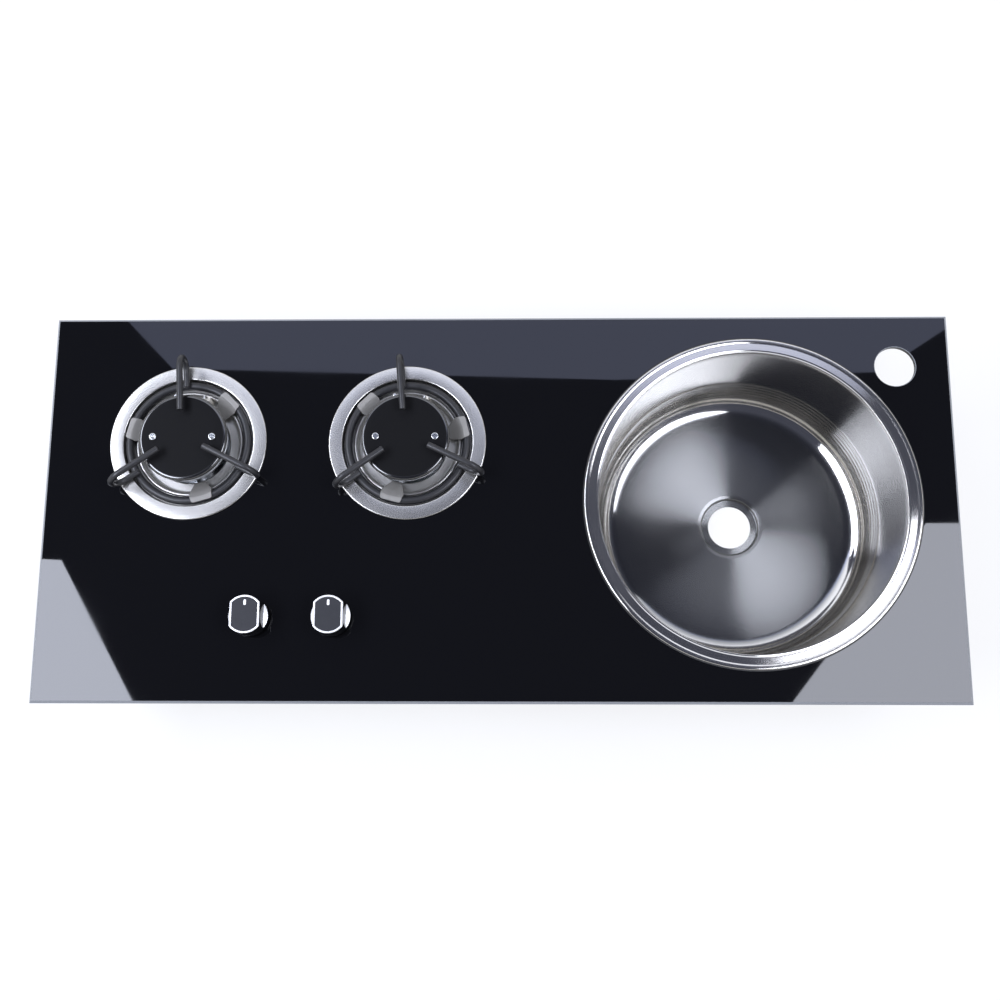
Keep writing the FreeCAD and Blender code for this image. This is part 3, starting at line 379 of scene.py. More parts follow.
def cappedEnamel(side, look):
    # enamelled cap: near black and matte on top, with a rubbed satin edge that draws a thin bright line
    cap = newMaterial("rubbedEnamel_" + side)
    source = addNode(cap, "ShaderNodeTexCoord").outputs["Object"]
    place = addNode(
        cap, "ShaderNodeMapping", None, {"Location": -burnerPlace[side]}, {"Vector": source}).outputs[0]
    flat = addNode(cap, "ShaderNodeVectorMath", {"operation": "MULTIPLY"}, {1: (1, 1, 0)}, {0: place})
    out = addNode(cap, "ShaderNodeVectorMath", {"operation": "LENGTH"}, None, {0: flat.outputs[0]})
    edge = addNode(
        cap, "ShaderNodeMapRange", smooth,
        {"From Min": look["rubStart"] * mm, "From Max": look["rubEnd"] * mm}, {"Value": out.outputs["Value"]})
    grain = addNode(
        cap, "ShaderNodeTexNoise", None, {"Scale": 1 / (look["grain"] * mm), "Detail": 3.0},
        {"Vector": place})
    tone = addNode(
        cap, "ShaderNodeMix", colorMix,
        {6: linearColor(look["dark"]), 7: linearColor(look["light"])}, {0: grain.outputs["Fac"]})
    gloss = addNode(
        cap, "ShaderNodeMix", numberMix, {2: look["gloss"], 3: look["edgeGloss"]}, {0: edge.outputs[0]})
    shine = addNode(
        cap, "ShaderNodeMix", numberMix, {2: look["shine"], 3: look["edgeShine"]}, {0: edge.outputs[0]})
    shader = addNode(
        cap, "ShaderNodeBsdfPrincipled", None, {"IOR": look["ior"], "Coat Roughness": look["coatGloss"]},
        {"Base Color": tone.outputs[2], "Roughness": gloss.outputs[0], "Specular IOR Level": shine.outputs[0],
         "Coat Weight": edge.outputs[0]})
    return closeMaterial(cap, shader)


def spunSteel(name, place, look):
    # 18/8 stainless sheet drawn and spun: fine rings round the axis pull every light into a fan
    steel = newMaterial(name)
    source = addNode(steel, "ShaderNodeTexCoord").outputs["Object"]
    centred = addNode(steel, "ShaderNodeMapping", None, {"Location": -place}, {"Vector": source}).outputs[0]
    axes = addNode(steel, "ShaderNodeSeparateXYZ", links={"Vector": centred})
    flat = addNode(steel, "ShaderNodeCombineXYZ", links={"X": axes.outputs["X"], "Y": axes.outputs["Y"]})
    out = addNode(
        steel, "ShaderNodeVectorMath", {"operation": "LENGTH"}, None, {0: flat.outputs[0]}).outputs["Value"]
    bearing = addNode(
        steel, "ShaderNodeMath", {"operation": "ARCTAN2"}, None, {0: axes.outputs["Y"], 1: axes.outputs["X"]})
    along = addNode(steel, "ShaderNodeMath", {"operation": "SUBTRACT"}, None, {0: out, 1: axes.outputs["Z"]})
    swing = addNode(
        steel, "ShaderNodeMath", {"operation": "MULTIPLY"}, {1: look["ringSwing"] * mm},
        {0: bearing.outputs[0]})
    lineSpot = addNode(steel, "ShaderNodeCombineXYZ", links={"X": along.outputs[0], "Y": swing.outputs[0]})
    lines = addNode(
        steel, "ShaderNodeTexNoise", {"noise_dimensions": "2D"},
        {"Scale": 1 / (look["ringPitch"] * mm), "Detail": 3.0, "Roughness": ringLook["rough"]},
        {"Vector": lineSpot.outputs[0]})
    cloud = addNode(
        steel, "ShaderNodeTexNoise", None, {"Scale": 1 / (look["cloud"] * mm), "Detail": 4.0},
        {"Vector": centred})
    deep = addNode(
        steel, "ShaderNodeMapRange", smooth,
        {"From Min": look["floorLow"] * mm, "From Max": look["floorHigh"] * mm}, {"Value": axes.outputs["Z"]})
    zoneGloss = addNode(
        steel, "ShaderNodeMix", numberMix, {2: look["floorGloss"], 3: look["wallGloss"]},
        {0: deep.outputs[0]})
    rim = addNode(
        steel, "ShaderNodeMapRange", smooth,
        {"From Min": (look["rimRadius"] - ringLook["rimBlend"]) * mm,
         "From Max": (look["rimRadius"] + ringLook["rimBlend"]) * mm}, {"Value": out})
    rimGloss = addNode(
        steel, "ShaderNodeMix", numberMix, {3: look["rimGloss"]},
        {0: rim.outputs[0], 2: zoneGloss.outputs[0]})
    lineGloss = addNode(
        steel, "ShaderNodeMath", {"operation": "MULTIPLY_ADD"},
        {1: look["lineGloss"], 2: -look["lineGloss"] / 2}, {0: lines.outputs["Fac"]})
    gloss = addNode(
        steel, "ShaderNodeMath", {"operation": "ADD", "use_clamp": True}, None,
        {0: rimGloss.outputs[0], 1: lineGloss.outputs[0]})
    sheen = addNode(
        steel, "ShaderNodeMix", colorMix,
        {6: linearColor(look["dark"]), 7: linearColor(look["light"])}, {0: cloud.outputs["Fac"]})
    # from toneLow up to toneHigh the floor tone gives way to the wall's; on the sink the floor tone is a
    # darker steel than the wall, painted shade on the bottom of the bowl
    floorShare = addNode(
        steel, "ShaderNodeMapRange", smooth,
        {"From Min": look["toneLow"] * mm, "From Max": look["toneHigh"] * mm}, {"Value": axes.outputs["Z"]})
    tone = addNode(
        steel, "ShaderNodeMix", colorMix, {6: linearColor(look["floorTone"])},
        {0: floorShare.outputs[0], 7: sheen.outputs[2]})
    relief = addNode(
        steel, "ShaderNodeBump", None, {"Strength": look["relief"], "Distance": ringLook["depth"] * mm},
        {"Height": lines.outputs["Fac"]})
    rings = addNode(steel, "ShaderNodeTangent", {"direction_type": "RADIAL", "axis": "Z"})
    links = {"Base Color": tone.outputs[2], "Roughness": gloss.outputs[0], "Normal": relief.outputs[0],
             "Tangent": rings.outputs[0]}
    if "rimFan" in look:
        links["Anisotropic"] = addNode(
            steel, "ShaderNodeMix", numberMix, {2: look["fan"], 3: look["rimFan"]},
            {0: rim.outputs[0]}).outputs[0]
    shader = addNode(
        steel, "ShaderNodeBsdfPrincipled", None,
        {"Metallic": 1.0, "Anisotropic": look["fan"], "Anisotropic Rotation": ringLook["turn"]}, links)
    return closeMaterial(steel, shader)


def grainedFinish(name, look):
    # a coat, cast or moulded surface: a fine grain in its tone, its gloss and its relief
    coat = newMaterial(name)
    place = addNode(coat, "ShaderNodeTexCoord").outputs["Object"]
    grain, patch = [
        addNode(
            coat, "ShaderNodeTexNoise", None, {"Scale": 1 / (look[size] * mm), "Detail": 3.0},
            {"Vector": place})
        for size in ("grain", "patch")]
    tone = addNode(
        coat, "ShaderNodeMix", colorMix,
        {6: linearColor(look["dark"]), 7: linearColor(look["light"])}, {0: patch.outputs["Fac"]})
    gloss = addNode(
        coat, "ShaderNodeMapRange", None,
        {"From Min": grainLook["range"][0], "From Max": grainLook["range"][1],
         "To Min": look["gloss"][0], "To Max": look["gloss"][1]}, {"Value": grain.outputs["Fac"]})
    relief = addNode(
        coat, "ShaderNodeBump", None,
        {"Strength": look["relief"], "Distance": look.get("depth", grainLook["depth"]) * mm},
        {"Height": grain.outputs["Fac"]})
    values = {"Metallic": look.get("metal", 0.0)}
    for setting, socket in (("ior", "IOR"), ("shine", "Specular IOR Level"), ("coat", "Coat Weight")):
        if setting in look:
            values[socket] = look[setting]
    shader = addNode(
        coat, "ShaderNodeBsdfPrincipled", None, values,
        {"Base Color": tone.outputs[2], "Roughness": gloss.outputs[0], "Normal": relief.outputs[0]})
    return closeMaterial(coat, shader)


def galvanisedSheet(look):
    # hot-dip zinc on steel: spangle crystals, each with its own grey and gloss
    sheet = newMaterial("galvanisedSheet")
    place = addNode(sheet, "ShaderNodeTexCoord").outputs["Object"]
    warp = addNode(
        sheet, "ShaderNodeTexNoise", None, {"Scale": 1 / (look["warp"] * mm), "Detail": 2.0},
        {"Vector": place})
    bent = addNode(
        sheet, "ShaderNodeVectorMath", {"operation": "MULTIPLY_ADD"}, {1: [look["bend"] * mm] * 3},
        {0: warp.outputs["Color"], 2: place})
    crystal = addNode(
        sheet, "ShaderNodeTexVoronoi", None, {"Scale": 1 / (look["spangle"] * mm)},
        {"Vector": bent.outputs[0]})
    shade = addNode(sheet, "ShaderNodeSeparateColor", links={"Color": crystal.outputs["Color"]})
    tone = addNode(
        sheet, "ShaderNodeMix", colorMix,
        {6: linearColor(look["dark"]), 7: linearColor(look["light"])}, {0: shade.outputs[0]})
    gloss = addNode(
        sheet, "ShaderNodeMapRange", None, {"To Min": look["gloss"][0], "To Max": look["gloss"][1]},
        {"Value": shade.outputs[1]})
    shader = addNode(
        sheet, "ShaderNodeBsdfPrincipled", None, {"Metallic": 1.0},
        {"Base Color": tone.outputs[2], "Roughness": gloss.outputs[0]})
    return closeMaterial(sheet, shader)


# Looks, with their lengths in mm
glassLook = {
    "edgeBand": 2.5, "skin": 0.04, "arris": 0.55, "grit": 0.8, "wipe": 70.0, "wipeRange": (0.35, 0.7),
    "gloss": (0.012, 0.03), "groundGloss": 0.42, "ior": 1.52, "face": "#08080a", "paint": "#101012",
    "groundDark": "#6d7074", "groundLight": "#898c91"}
capLook = {
    "rubStart": 34.4, "rubEnd": 35.0, "grain": 0.45, "dark": "#09090b", "light": "#0d0d0f", "gloss": 0.56,
    "edgeGloss": 0.16, "shine": 0.1, "edgeShine": 1.0, "ior": 1.5, "coatGloss": 0.12}
zincLook = {
    "warp": 6.0, "bend": 2.0, "spangle": 9.0, "dark": "#a9afb4", "light": "#cdd2d6", "gloss": (0.28, 0.46)}
ringLook = {"rough": 0.65, "rimBlend": 0.5, "depth": 0.02, "turn": 0.25}     # a quarter turn
sinkLook = {
    "ringPitch": 0.9,     # real brush rings are about 0.1 mm, drawn coarser so that they show
    "ringSwing": 6.0, "cloud": 60.0, "floorLow": -121.5, "floorHigh": -119.6, "floorGloss": 0.26,
    "wallGloss": 0.09, "rimRadius": 130.0, "rimGloss": 0.125, "lineGloss": 0.05, "relief": 0.1, "fan": 1.0,
    # the floor tone is darker than the wall's steel: painted shade at the bottom of the sink
    "dark": "#cac7c2", "light": "#d8d6d2", "floorTone": "#818180", "toneLow": -120.2, "toneHigh": -118.0}
bowlLook = {
    "ringPitch": 0.7,     # a fine blasted grain
    "ringSwing": 60.0, "cloud": 12.0, "floorLow": -9.0, "floorHigh": -4.0, "floorGloss": 0.36,
    "wallGloss": 0.34, "rimRadius": 54.0, "rimGloss": 0.27, "lineGloss": 0.1, "relief": 0.3, "fan": 0.5,
    "rimFan": 0.15, "dark": "#c8c6c2", "light": "#dad8d3", "floorTone": "#d6d4d0", "toneLow": -9.0,
    "toneHigh": -4.0}
grainLook = {"range": (0.3, 0.7), "depth": 0.05}     # where most of a noise lies, and the usual relief
plainLooks = {
    # closed-cell foam strip: dull black with open pores
    "foam_seal": ("closedCellFoam", {"grain": 0.9, "patch": 9, "dark": "#161617", "light": "#232324",
                                     "gloss": (0.8, 0.95), "relief": 0.8, "depth": 0.3}),
    # moulded nitrile rubber: black with a faint bloom
    "black_rubber": ("nitrileRubber", {"grain": 0.5, "patch": 14, "dark": "#121213", "light": "#1d1d1e",
                                       "gloss": (0.45, 0.62), "relief": 0.25}),
    # tooled neutral silicone: dark grey with a wet skin
    "silicone": ("neutralSilicone", {"grain": 2.5, "patch": 18, "dark": "#4d4f52", "light": "#5c5e61",
                                     "gloss": (0.25, 0.4), "relief": 0.4, "depth": 0.3}),
    # bead-blasted stainless tab: soft even grey
    "clip_steel": ("blastedStainless", {"grain": 0.35, "patch": 5, "dark": "#7f7d79", "light": "#8c8a86",
                                        "gloss": (0.5, 0.6), "relief": 0.2, "metal": 0.2}),
    # zinc-plated screw: bright with slight haze
    "plated_steel": ("zincPlate", {"grain": 0.4, "patch": 3, "dark": "#c9ccce", "light": "#e2e4e6",
                                   "gloss": (0.14, 0.28), "relief": 0.12, "metal": 1.0}),
    # turned bright steel: smooth grey with tool haze
    "stem_steel": ("turnedSteel", {"grain": 0.3, "patch": 4, "dark": "#b2b3b5", "light": "#cfd0d2",
                                   "gloss": (0.2, 0.34), "relief": 0.15, "metal": 1.0}),
    # satin enamel on bent wire: charcoal with a soft highlight and slight orange peel
    "black_enamel": ("satinEnamel", {"grain": 0.9, "patch": 8, "dark": "#1b1b1d", "light": "#242427",
                                     "gloss": (0.34, 0.46), "relief": 0.22, "ior": 1.5}),
    # gravity-cast aluminium: pale grey with a sandy skin
    "cast_aluminium": ("castAluminium", {"grain": 0.7, "patch": 10, "dark": "#a6a8aa", "light": "#c0c2c4",
                                         "gloss": (0.38, 0.55), "relief": 0.45, "depth": 0.12, "metal": 1.0}),
    # turned brass: warm yellow with tarnish in patches
    "brass": ("turnedBrass", {"grain": 0.4, "patch": 5, "dark": "#a5813f", "light": "#cba75c",
                              "gloss": (0.2, 0.36), "relief": 0.15, "metal": 1.0}),
    # glazed steatite: warm white with a clear gloss
    "ceramic": ("glazedSteatite", {"grain": 0.6, "patch": 4, "dark": "#ded8cb", "light": "#efeae0",
                                   "gloss": (0.12, 0.2), "relief": 0.08, "ior": 1.55, "coat": 0.4}),
    # polished ABS: black, and a mirror at low angles
    "knob_plastic": ("polishedAbs", {"grain": 0.25, "patch": 6, "dark": "#0b0b0d", "light": "#101012",
                                     "gloss": (0.1, 0.16), "relief": 0.03, "ior": 1.54, "shine": 0.9}),
    # satin chrome on plastic: silver with a soft edge to every reflection
    "knob_chrome": ("satinChrome", {"grain": 0.3, "patch": 5, "dark": "#e2e2e3", "light": "#efeff0",
                                    "gloss": (0.42, 0.5), "relief": 0.06, "metal": 1.0}),
    # pad-printed acrylic insert: dark slate grey with a fine tooth
    "knob_face": ("slateAcrylic", {"grain": 0.3, "patch": 5, "dark": "#202126", "light": "#27282d",
                                   "gloss": (0.46, 0.56), "relief": 0.12, "ior": 1.49, "shine": 0.32}),
    # white epoxy fill in the pointer's groove
    "pointer_white": ("whiteEpoxy", {"grain": 0.3, "patch": 2, "dark": "#ececec", "light": "#fafafa",
                                     "gloss": (0.4, 0.5), "relief": 0.08, "ior": 1.5}),
    # moulded polyamide housing: black with a coarse spark texture
    "module_plastic": ("mouldedPolyamide", {"grain": 0.5, "patch": 12, "dark": "#1f2022", "light": "#292a2c",
                                            "gloss": (0.48, 0.62), "relief": 0.35, "ior": 1.53}),
    # silicone sleeve on the spark leads: brick red and slightly dusty
    "lead_red": ("siliconeSleeve", {"grain": 0.8, "patch": 10, "dark": "#7c2319", "light": "#95301f",
                                    "gloss": (0.42, 0.56), "relief": 0.2, "ior": 1.42})}

finishes = {slot: grainedFinish(name, look) for slot, (name, look) in plainLooks.items()}
finishes["black_glass"] = temperedGlass(glassLook)
finishes["sheet_steel"] = galvanisedSheet(zincLook)
finishes["sink_steel"] = spunSteel("spunSinkStainless", sinkPlace, sinkLook)
bowlFinish = {side: spunSteel("spunBowlStainless_" + side, burnerPlace[side], bowlLook) for side in sides}
finishes["bowl_steel"] = bowlFinish["left"]
capFinish = {side: cappedEnamel(side, capLook) for side in sides}
finishes["cap_enamel"] = capFinish["left"]
for subpart in frame["record"]["subparts"]:
    node = frame["nodes"][subpart["node"]]
    node.data.materials.clear()
    node.data.materials.append(finishes[subpart["material_slot"]])
print("materials made:", len(finishes) + len(sides))


# Clips: sheared tabs from the frame, with their edges rubbed round, in mm
clipSize = {"merge": 0.005, "edgeRound": 0.3, "edgeSteps": 2}
for side in sides:
    clips = frame["nodes"]["ring_clips_" + side]
    weld = clips.modifiers.new("weld", "WELD")
    weld.merge_threshold = clipSize["merge"] * mm
    rubbed = clips.modifiers.new("rubbedEdges", "BEVEL")
    rubbed.width = clipSize["edgeRound"] * mm
    rubbed.segments = clipSize["edgeSteps"]
    rubbed.limit_method = "ANGLE"
    rubbed.angle_limit = sharpAngle
print("clip edges rounded")


# Sink: rolled rim, thin bead at the mouth, ribbed lower wall, brushed floor and drain seat, in mm
sinkSize = {
    "sheet": 1.0, "rimLow": 1.05, "rimHeight": 3.0, "rimWidth": 12.9, "rollWidth": 3.4, "rollFall": 0.25,
    "rollFoot": 1.0, "bandStart": 1.6, "bandFall": 0.7, "bandSag": 0.03, "mouthBead": 1.6, "beadStart": 1.5,
    "beadFoot": 0.9, "beadDip": 0.35, "beadIn": 0.4, "beadFall": 0.05, "mouthHeight": 2.1, "wallIn": 0.05,
    "wallFall": 1.4, "rimRounds": (1.5, 0.6, 0.5, 0.0, 0.0, 0.3, 0.3, 0.6), "rimArc": 12.0,
    "wallDraft": 6.5, "wallRows": 12, "footRound": 20.0, "floorFall": 2.0, "floorArc": 4.0, "depth": 126.0,
    "seatDepth": 4.0, "seatSlope": 1.2, "seatWidth": 6.0, "dish": 3.0, "dishDrop": 0.6,
    "dishRounds": (3.0, 1.2, 0.8), "drainRadius": 19.8, "ribStart": 76.0, "ribPitch": 6.3, "ribCount": 7,
    "ribDepth": 0.45, "ribSteps": 8, "ribClear": 0.5, "steps": 168, "smoothAngle": 50.0}


def evenPoints(section, start, end, count):
    # points at even steps along part of a section, each with the way it is heading there
    found = []
    for i in range(count + 1):
        left = start + (end - start) * i / count
        for before, after in zip(section, section[1:]):
            length = (after - before).length
            if left <= length:
                found.append((before.lerp(after, left / length), (after - before).normalized()))
                break
            left -= length
    return found


def makeSink(size):
    low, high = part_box("sink_bowl")
    rim = (high.x - low.x) / 2 / mm
    roll = rim - size["rollWidth"]
    mouth = rim - size["rimWidth"]
    bead = mouth + size["mouthBead"]
    band = size["rimHeight"] - size["bandFall"]
    sag = band - size["bandSag"]
    wallTop = (mouth - size["wallIn"], size["mouthHeight"] - size["wallFall"])
    upper = roundedSection(
        [(rim, size["rimLow"]), (rim, size["rimHeight"]), (roll, size["rimHeight"] - size["rollFall"]),
         (roll - size["rollFoot"], band), (roll - size["bandStart"], band), (bead + size["beadStart"], sag),
         (bead + size["beadFoot"], sag), (bead, band - size["beadDip"]),
         (mouth + size["beadIn"], band - size["beadFall"]), wallTop],
        size["rimRounds"], size["rimArc"])
    foot = mouth - size["wallDraft"]
    floor = -size["depth"] + size["seatDepth"]
    seat = size["drainRadius"] + size["seatWidth"]
    slope = seat + size["seatSlope"]
    lower = roundedSection(
        [wallTop, (foot, floor + size["floorFall"]), (slope + size["dish"], floor),
         (slope, floor - size["dishDrop"]), (seat, -size["depth"]), (size["drainRadius"], -size["depth"])],
        (size["footRound"], *size["dishRounds"]), size["floorArc"])
    ribEnd = size["ribStart"] + size["ribPitch"] * size["ribCount"]
    wall = evenPoints(lower, 0, size["ribStart"], size["wallRows"])
    section = upper[:-1] + [point for point, way in wall[:-1]]
    ribs = evenPoints(lower, size["ribStart"], ribEnd, size["ribCount"] * size["ribSteps"])
    for i, (point, way) in enumerate(ribs):
        swell = size["ribDepth"] * (1 - math.cos(fullTurn * i / size["ribSteps"])) / 2
        section.append(point + Vector((-way.y, way.x)) * swell)
    reached = 0.0
    for before, after in zip(lower, lower[1:]):
        reached += (after - before).length
        if reached > ribEnd + size["ribClear"]:
            section.append(after)
    bowl = turnSection("sinkModel", section, size["steps"], size["sheet"])
    piece = copyTo(bowl, "sinkBowl", sinkPlace)
    bpy.data.objects.remove(bowl)
    finishPiece(piece, "panel", "sink_bowl", "sink_steel", size["smoothAngle"])


makeSink(sinkSize)
print("sink made")


# Drip bowls: flange, groove for the ring, bead, flat floor and collar, in mm
bowlSize = {
    "sheet": 0.8, "lipGap": 0.15, "flangeHeight": 1.9, "flangeWidth": 11.7, "flangeRound": 1.0,
    "throatRound": 1.2, "grooveDraft": 0.6, "grooveRound": 0.6, "grooveDepth": 4.4, "grooveInner": 46.3,
    "beadRadius": 44.3, "beadDrop": 0.8, "floorEdge": 42.2, "floorRound": 3.0, "floorDrop": 10.5,
    "collarRadius": 33.0, "collarRound": 1.5, "collar": 4.5, "arcStep": 12.0, "steps": 144, "cutLow": -16.0,
    "cutHigh": 4.0, "igniterHole": 3.0, "thermocoupleHole": 2.6, "thermocoupleTurn": 37.0}


def makeDripBowl(size):
    low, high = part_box("drip_bowl_left")
    flange = (high.x - low.x) / 2 / mm
    throat = flange - size["flangeWidth"]
    groove = -size["grooveDepth"]
    floor = -size["floorDrop"]
    section = roundedSection(
        [(flange, size["lipGap"]), (flange, size["flangeHeight"]), (throat, size["flangeHeight"]),
         (throat - size["grooveDraft"], groove), (size["grooveInner"], groove),
         (size["beadRadius"], -size["beadDrop"]), (size["floorEdge"], floor), (size["collarRadius"], floor),
         (size["collarRadius"], floor - size["collar"])],
        [size["flangeRound"], size["throatRound"], size["grooveRound"], size["grooveRound"],
         size["throatRound"], size["floorRound"], size["collarRound"]], size["arcStep"])
    bowl = turnSection("dripBowl", section, size["steps"], size["sheet"])
    igniter = (boxMiddle("igniter_ceramic_left") - burnerPlace["left"]) / mm
    thermocouple = Matrix.Rotation(math.radians(size["thermocoupleTurn"]), 3, "Z") @ igniter
    for hole, place in (("igniterHole", igniter), ("thermocoupleHole", thermocouple)):
        cutter = rod("holeCutter", size[hole], size["cutLow"], size["cutHigh"], place.xy)
        combine(bowl, cutter, "DIFFERENCE")
    return bowl


placePair(makeDripBowl(bowlSize), "drip_bowl", "bowl_steel", burnerPlace, looks=bowlFinish)
print("drip bowls made")


# Burner caps: pressed discs with a rolled edge and a faint crown, in mm
capSize = {
    "thickness": 3.0, "edgeRound": 2.7, "crown": 0.1, "crownReach": 0.7, "crownFall": 0.3,
    "crownRound": 12.0, "lipRound": 0.2, "arcStep": 12.0, "steps": 120}


def makeCap(size):
    low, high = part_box("burner_cap_left")
    radius = (high.x - low.x) / 2 / mm
    top = (high.z - glassTop) / mm
    under = top - size["thickness"]
    section = roundedSection(
        [(0, under), (radius, under), (radius, top - size["crown"]),
         (radius * size["crownReach"], top - size["crown"] * size["crownFall"]), (0, top)],
        [size["lipRound"], size["edgeRound"], size["crownRound"]], size["arcStep"])
    return turnSection("burnerCap", section, size["steps"])


placePair(makeCap(capSize), "burner_cap", "cap_enamel", burnerPlace, looks=capFinish)
print("burner caps made")


# Burner heads: a cast ring with a crown of slots for the flame, in mm
headSize = {
    "bore": 20.0, "foot": 35.8, "footHeight": 2.5, "crown": 35.2, "crownWall": 5.0, "edgeRound": 0.5,
    "arcStep": 30.0, "ports": 36, "portWidth": 1.5, "portHeight": 4.5, "portPast": 2.0, "cutPast": 1.0,
    "screwHole": 2.2, "screwReach": 25.0, "steps": 144}


def makeHead(size):
    low, high = ((corner.z - glassTop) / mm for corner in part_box("burner_head_left"))
    bore, crown, soft = size["bore"], size["crown"], size["edgeRound"]
    foot = low + size["footHeight"]
    inner = crown - size["crownWall"]
    section = roundedSection(
        [(bore, low), (size["foot"], low), (size["foot"], foot), (crown, foot), (crown, high), (inner, high),
         (inner, foot), (bore, foot), (bore, low)],
        [soft] * 3 + [soft / 2] * 2 + [soft] * 2, size["arcStep"])
    head = turnSection("burnerHead", section, size["steps"])
    deselectAll()
    bpy.ops.mesh.primitive_cube_add(
        size=mm, location=((crown - size["crownWall"] / 2) * mm, 0, (high - size["portHeight"] / 2) * mm))
    port = addedPiece(
        "portCutter", (size["crownWall"] + size["portPast"], size["portWidth"], size["portHeight"]))
    editPiece(port, "FACE")
    selectFaces(port, lambda normal: round(normal.z) == 1)
    pull(0, 0, size["cutPast"])
    bpy.ops.object.mode_set(mode="OBJECT")
    cutters = [copyTo(port, "port", turn=fullTurn * (i + 0.5) / size["ports"]) for i in range(size["ports"])]
    bpy.data.objects.remove(port)
    cutters += [rod("screwCutter", size["screwHole"], low - size["cutPast"], foot + size["cutPast"], (x, 0.0))
                for x in (-size["screwReach"], size["screwReach"])]
    joinInto(cutters[0], cutters[1:])
    combine(head, cutters[0], "DIFFERENCE")
    return head


placePair(makeHead(headSize), "burner_head", "cast_aluminium", burnerPlace)
print("burner heads made")


# Pan supports: a wire ring with three welded hairpin arms, in mm
supportSize = {
    "ringWire": 3.4, "ringMiddle": -0.65, "ringRadius": 50.7, "ringSteps": 144, "armWire": 2.7,
    "armTop": 28.0, "armLow": 4.95, "armInner": 21.5, "armCount": 3,
    "firstArm": {"left": 93.5, "right": 95.0}, "cutRound": 0.5, "cutSteps": 3, "bendSteps": 22,
    "wireSides": 28}


def makeArm(size):
    # the wire starts as a round face at the inner end, runs out, bends back and ends over the ring
    node = frame["nodes"]["pan_support_left"]
    corners = [node.matrix_world @ vertex.co - burnerPlace["left"] for vertex in node.data.vertices]
    reach = max(corner.xy.length for corner in corners) / mm
    bend = (size["armTop"] - size["armLow"]) / 2
    bendStart = reach - size["armWire"] - bend
    legEnd = size["ringRadius"] - size["armWire"]
    deselectAll()
    bpy.ops.mesh.primitive_circle_add(
        vertices=size["wireSides"], radius=size["armWire"] * mm, fill_type="NGON",
        location=(size["armInner"] * mm, 0, size["armTop"] * mm), rotation=(0, math.pi / 2, 0))
    arm = addedPiece("supportArm")
    editPiece(arm, "FACE", "SELECT")
    pull(bendStart - size["armInner"], 0, 0)
    bpy.ops.mesh.spin(
        steps=size["bendSteps"], angle=math.pi, axis=(0, -1, 0),
        center=(bendStart * mm, 0, (size["armTop"] - bend) * mm))
    pull(legEnd - bendStart, 0, 0)
    recalculate(arm)
    editPiece(arm, "EDGE")
    for end in (size["armInner"], legEnd):
        selectEdges(arm, lambda a, b: max(abs(a.x - end * mm), abs(b.x - end * mm)) < sameSpot)
        bpy.ops.mesh.bevel(offset=size["cutRound"] * mm, segments=size["cutSteps"], affect="EDGES")
    bpy.ops.object.mode_set(mode="OBJECT")
    return arm


def makeSupport(size):
    deselectAll()
    bpy.ops.mesh.primitive_torus_add(
        major_segments=size["ringSteps"], minor_segments=size["wireSides"],
        major_radius=size["ringRadius"] * mm, minor_radius=size["ringWire"] * mm,
        location=(0, 0, size["ringMiddle"] * mm))
    ring = addedPiece("panSupport")
    arm = makeArm(size)
    for i in range(size["armCount"]):
        combine(ring, copyTo(arm, "arm", turn=fullTurn * i / size["armCount"]), "UNION")
    bpy.data.objects.remove(arm)
    return ring


placePair(
    makeSupport(supportSize), "pan_support", "black_enamel", burnerPlace, "support", supportSize["firstArm"])
print("pan supports made")


# Knobs: black body, silver outline and crescents, slate face, white pointer, in mm from the glass
knobSize = {
    "gripRadius": 15.7, "gripFlat": 12.2, "gripSink": 2.0, "cornerRound": 0.6, "cornerSteps": 6, "base": 4.2,
    "step": 10.5, "top": 25.0, "trim": 1.2, "trimWidth": 1.7, "trimRound": 0.45, "trimSteps": 4,
    "skirtRound": 0.8, "faceDrop": 0.2, "faceGap": 0.02, "draft": (1.074, 1.03), "crescentGap": 0.74,
    "crescentEdge": 0.7, "crescentRise": 1.4, "crescentIn": 0.1, "crescentRound": 0.15, "steps": 96,
    "pointerWidth": 2.0, "pointerLength": 4.7, "pointerPlace": 9.6, "pointerDepth": 0.6,
    "pointerRound": 0.48, "pointerSteps": 6, "slotGap": 0.02, "cutPast": 1.0, "stemRadius": 4.1,
    "stemTop": 18.1}
knobRadius = (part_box("knob_body_left")[1].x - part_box("knob_body_left")[0].x) / 2 / mm


def gripOutline(name, size, inset, level):
    # a round plate with two flats and softened corners, left in edit mode
    radius = size["gripRadius"] - inset
    flat = size["gripFlat"] - inset
    soft = size["cornerRound"]
    cornerX = flat - soft
    cornerY = math.sqrt((radius - soft) ** 2 - cornerX ** 2)
    turn = math.atan2(cornerY, cornerX)
    corners = [turn * i / size["cornerSteps"] for i in range(size["cornerSteps"] + 1)]
    quarter = [Vector((cornerX + soft * math.cos(angle), cornerY + soft * math.sin(angle), level))
               for angle in corners]
    count = size["steps"] // 4
    arc = [turn + (math.pi / 2 - turn) * i / count for i in range(1, count + 1)]
    quarter += [Vector((radius * math.cos(angle), radius * math.sin(angle), level)) for angle in arc]
    half = quarter + [Vector((-point.x, point.y, level)) for point in reversed(quarter[:-1])]
    around = half + [Vector((-point.x, -point.y, level)) for point in half] + half[:1]
    plate = walkLine(name, around)
    bpy.ops.mesh.remove_doubles(threshold=mergeGap)
    bpy.ops.mesh.edge_face_add()
    bpy.ops.mesh.select_mode(type="FACE")
    bpy.ops.mesh.select_all(action="SELECT")
    return plate


def pullUp(plate, height):
    bpy.ops.mesh.select_all(action="SELECT")
    pull(0, 0, height)
    recalculate(plate)
    return plate


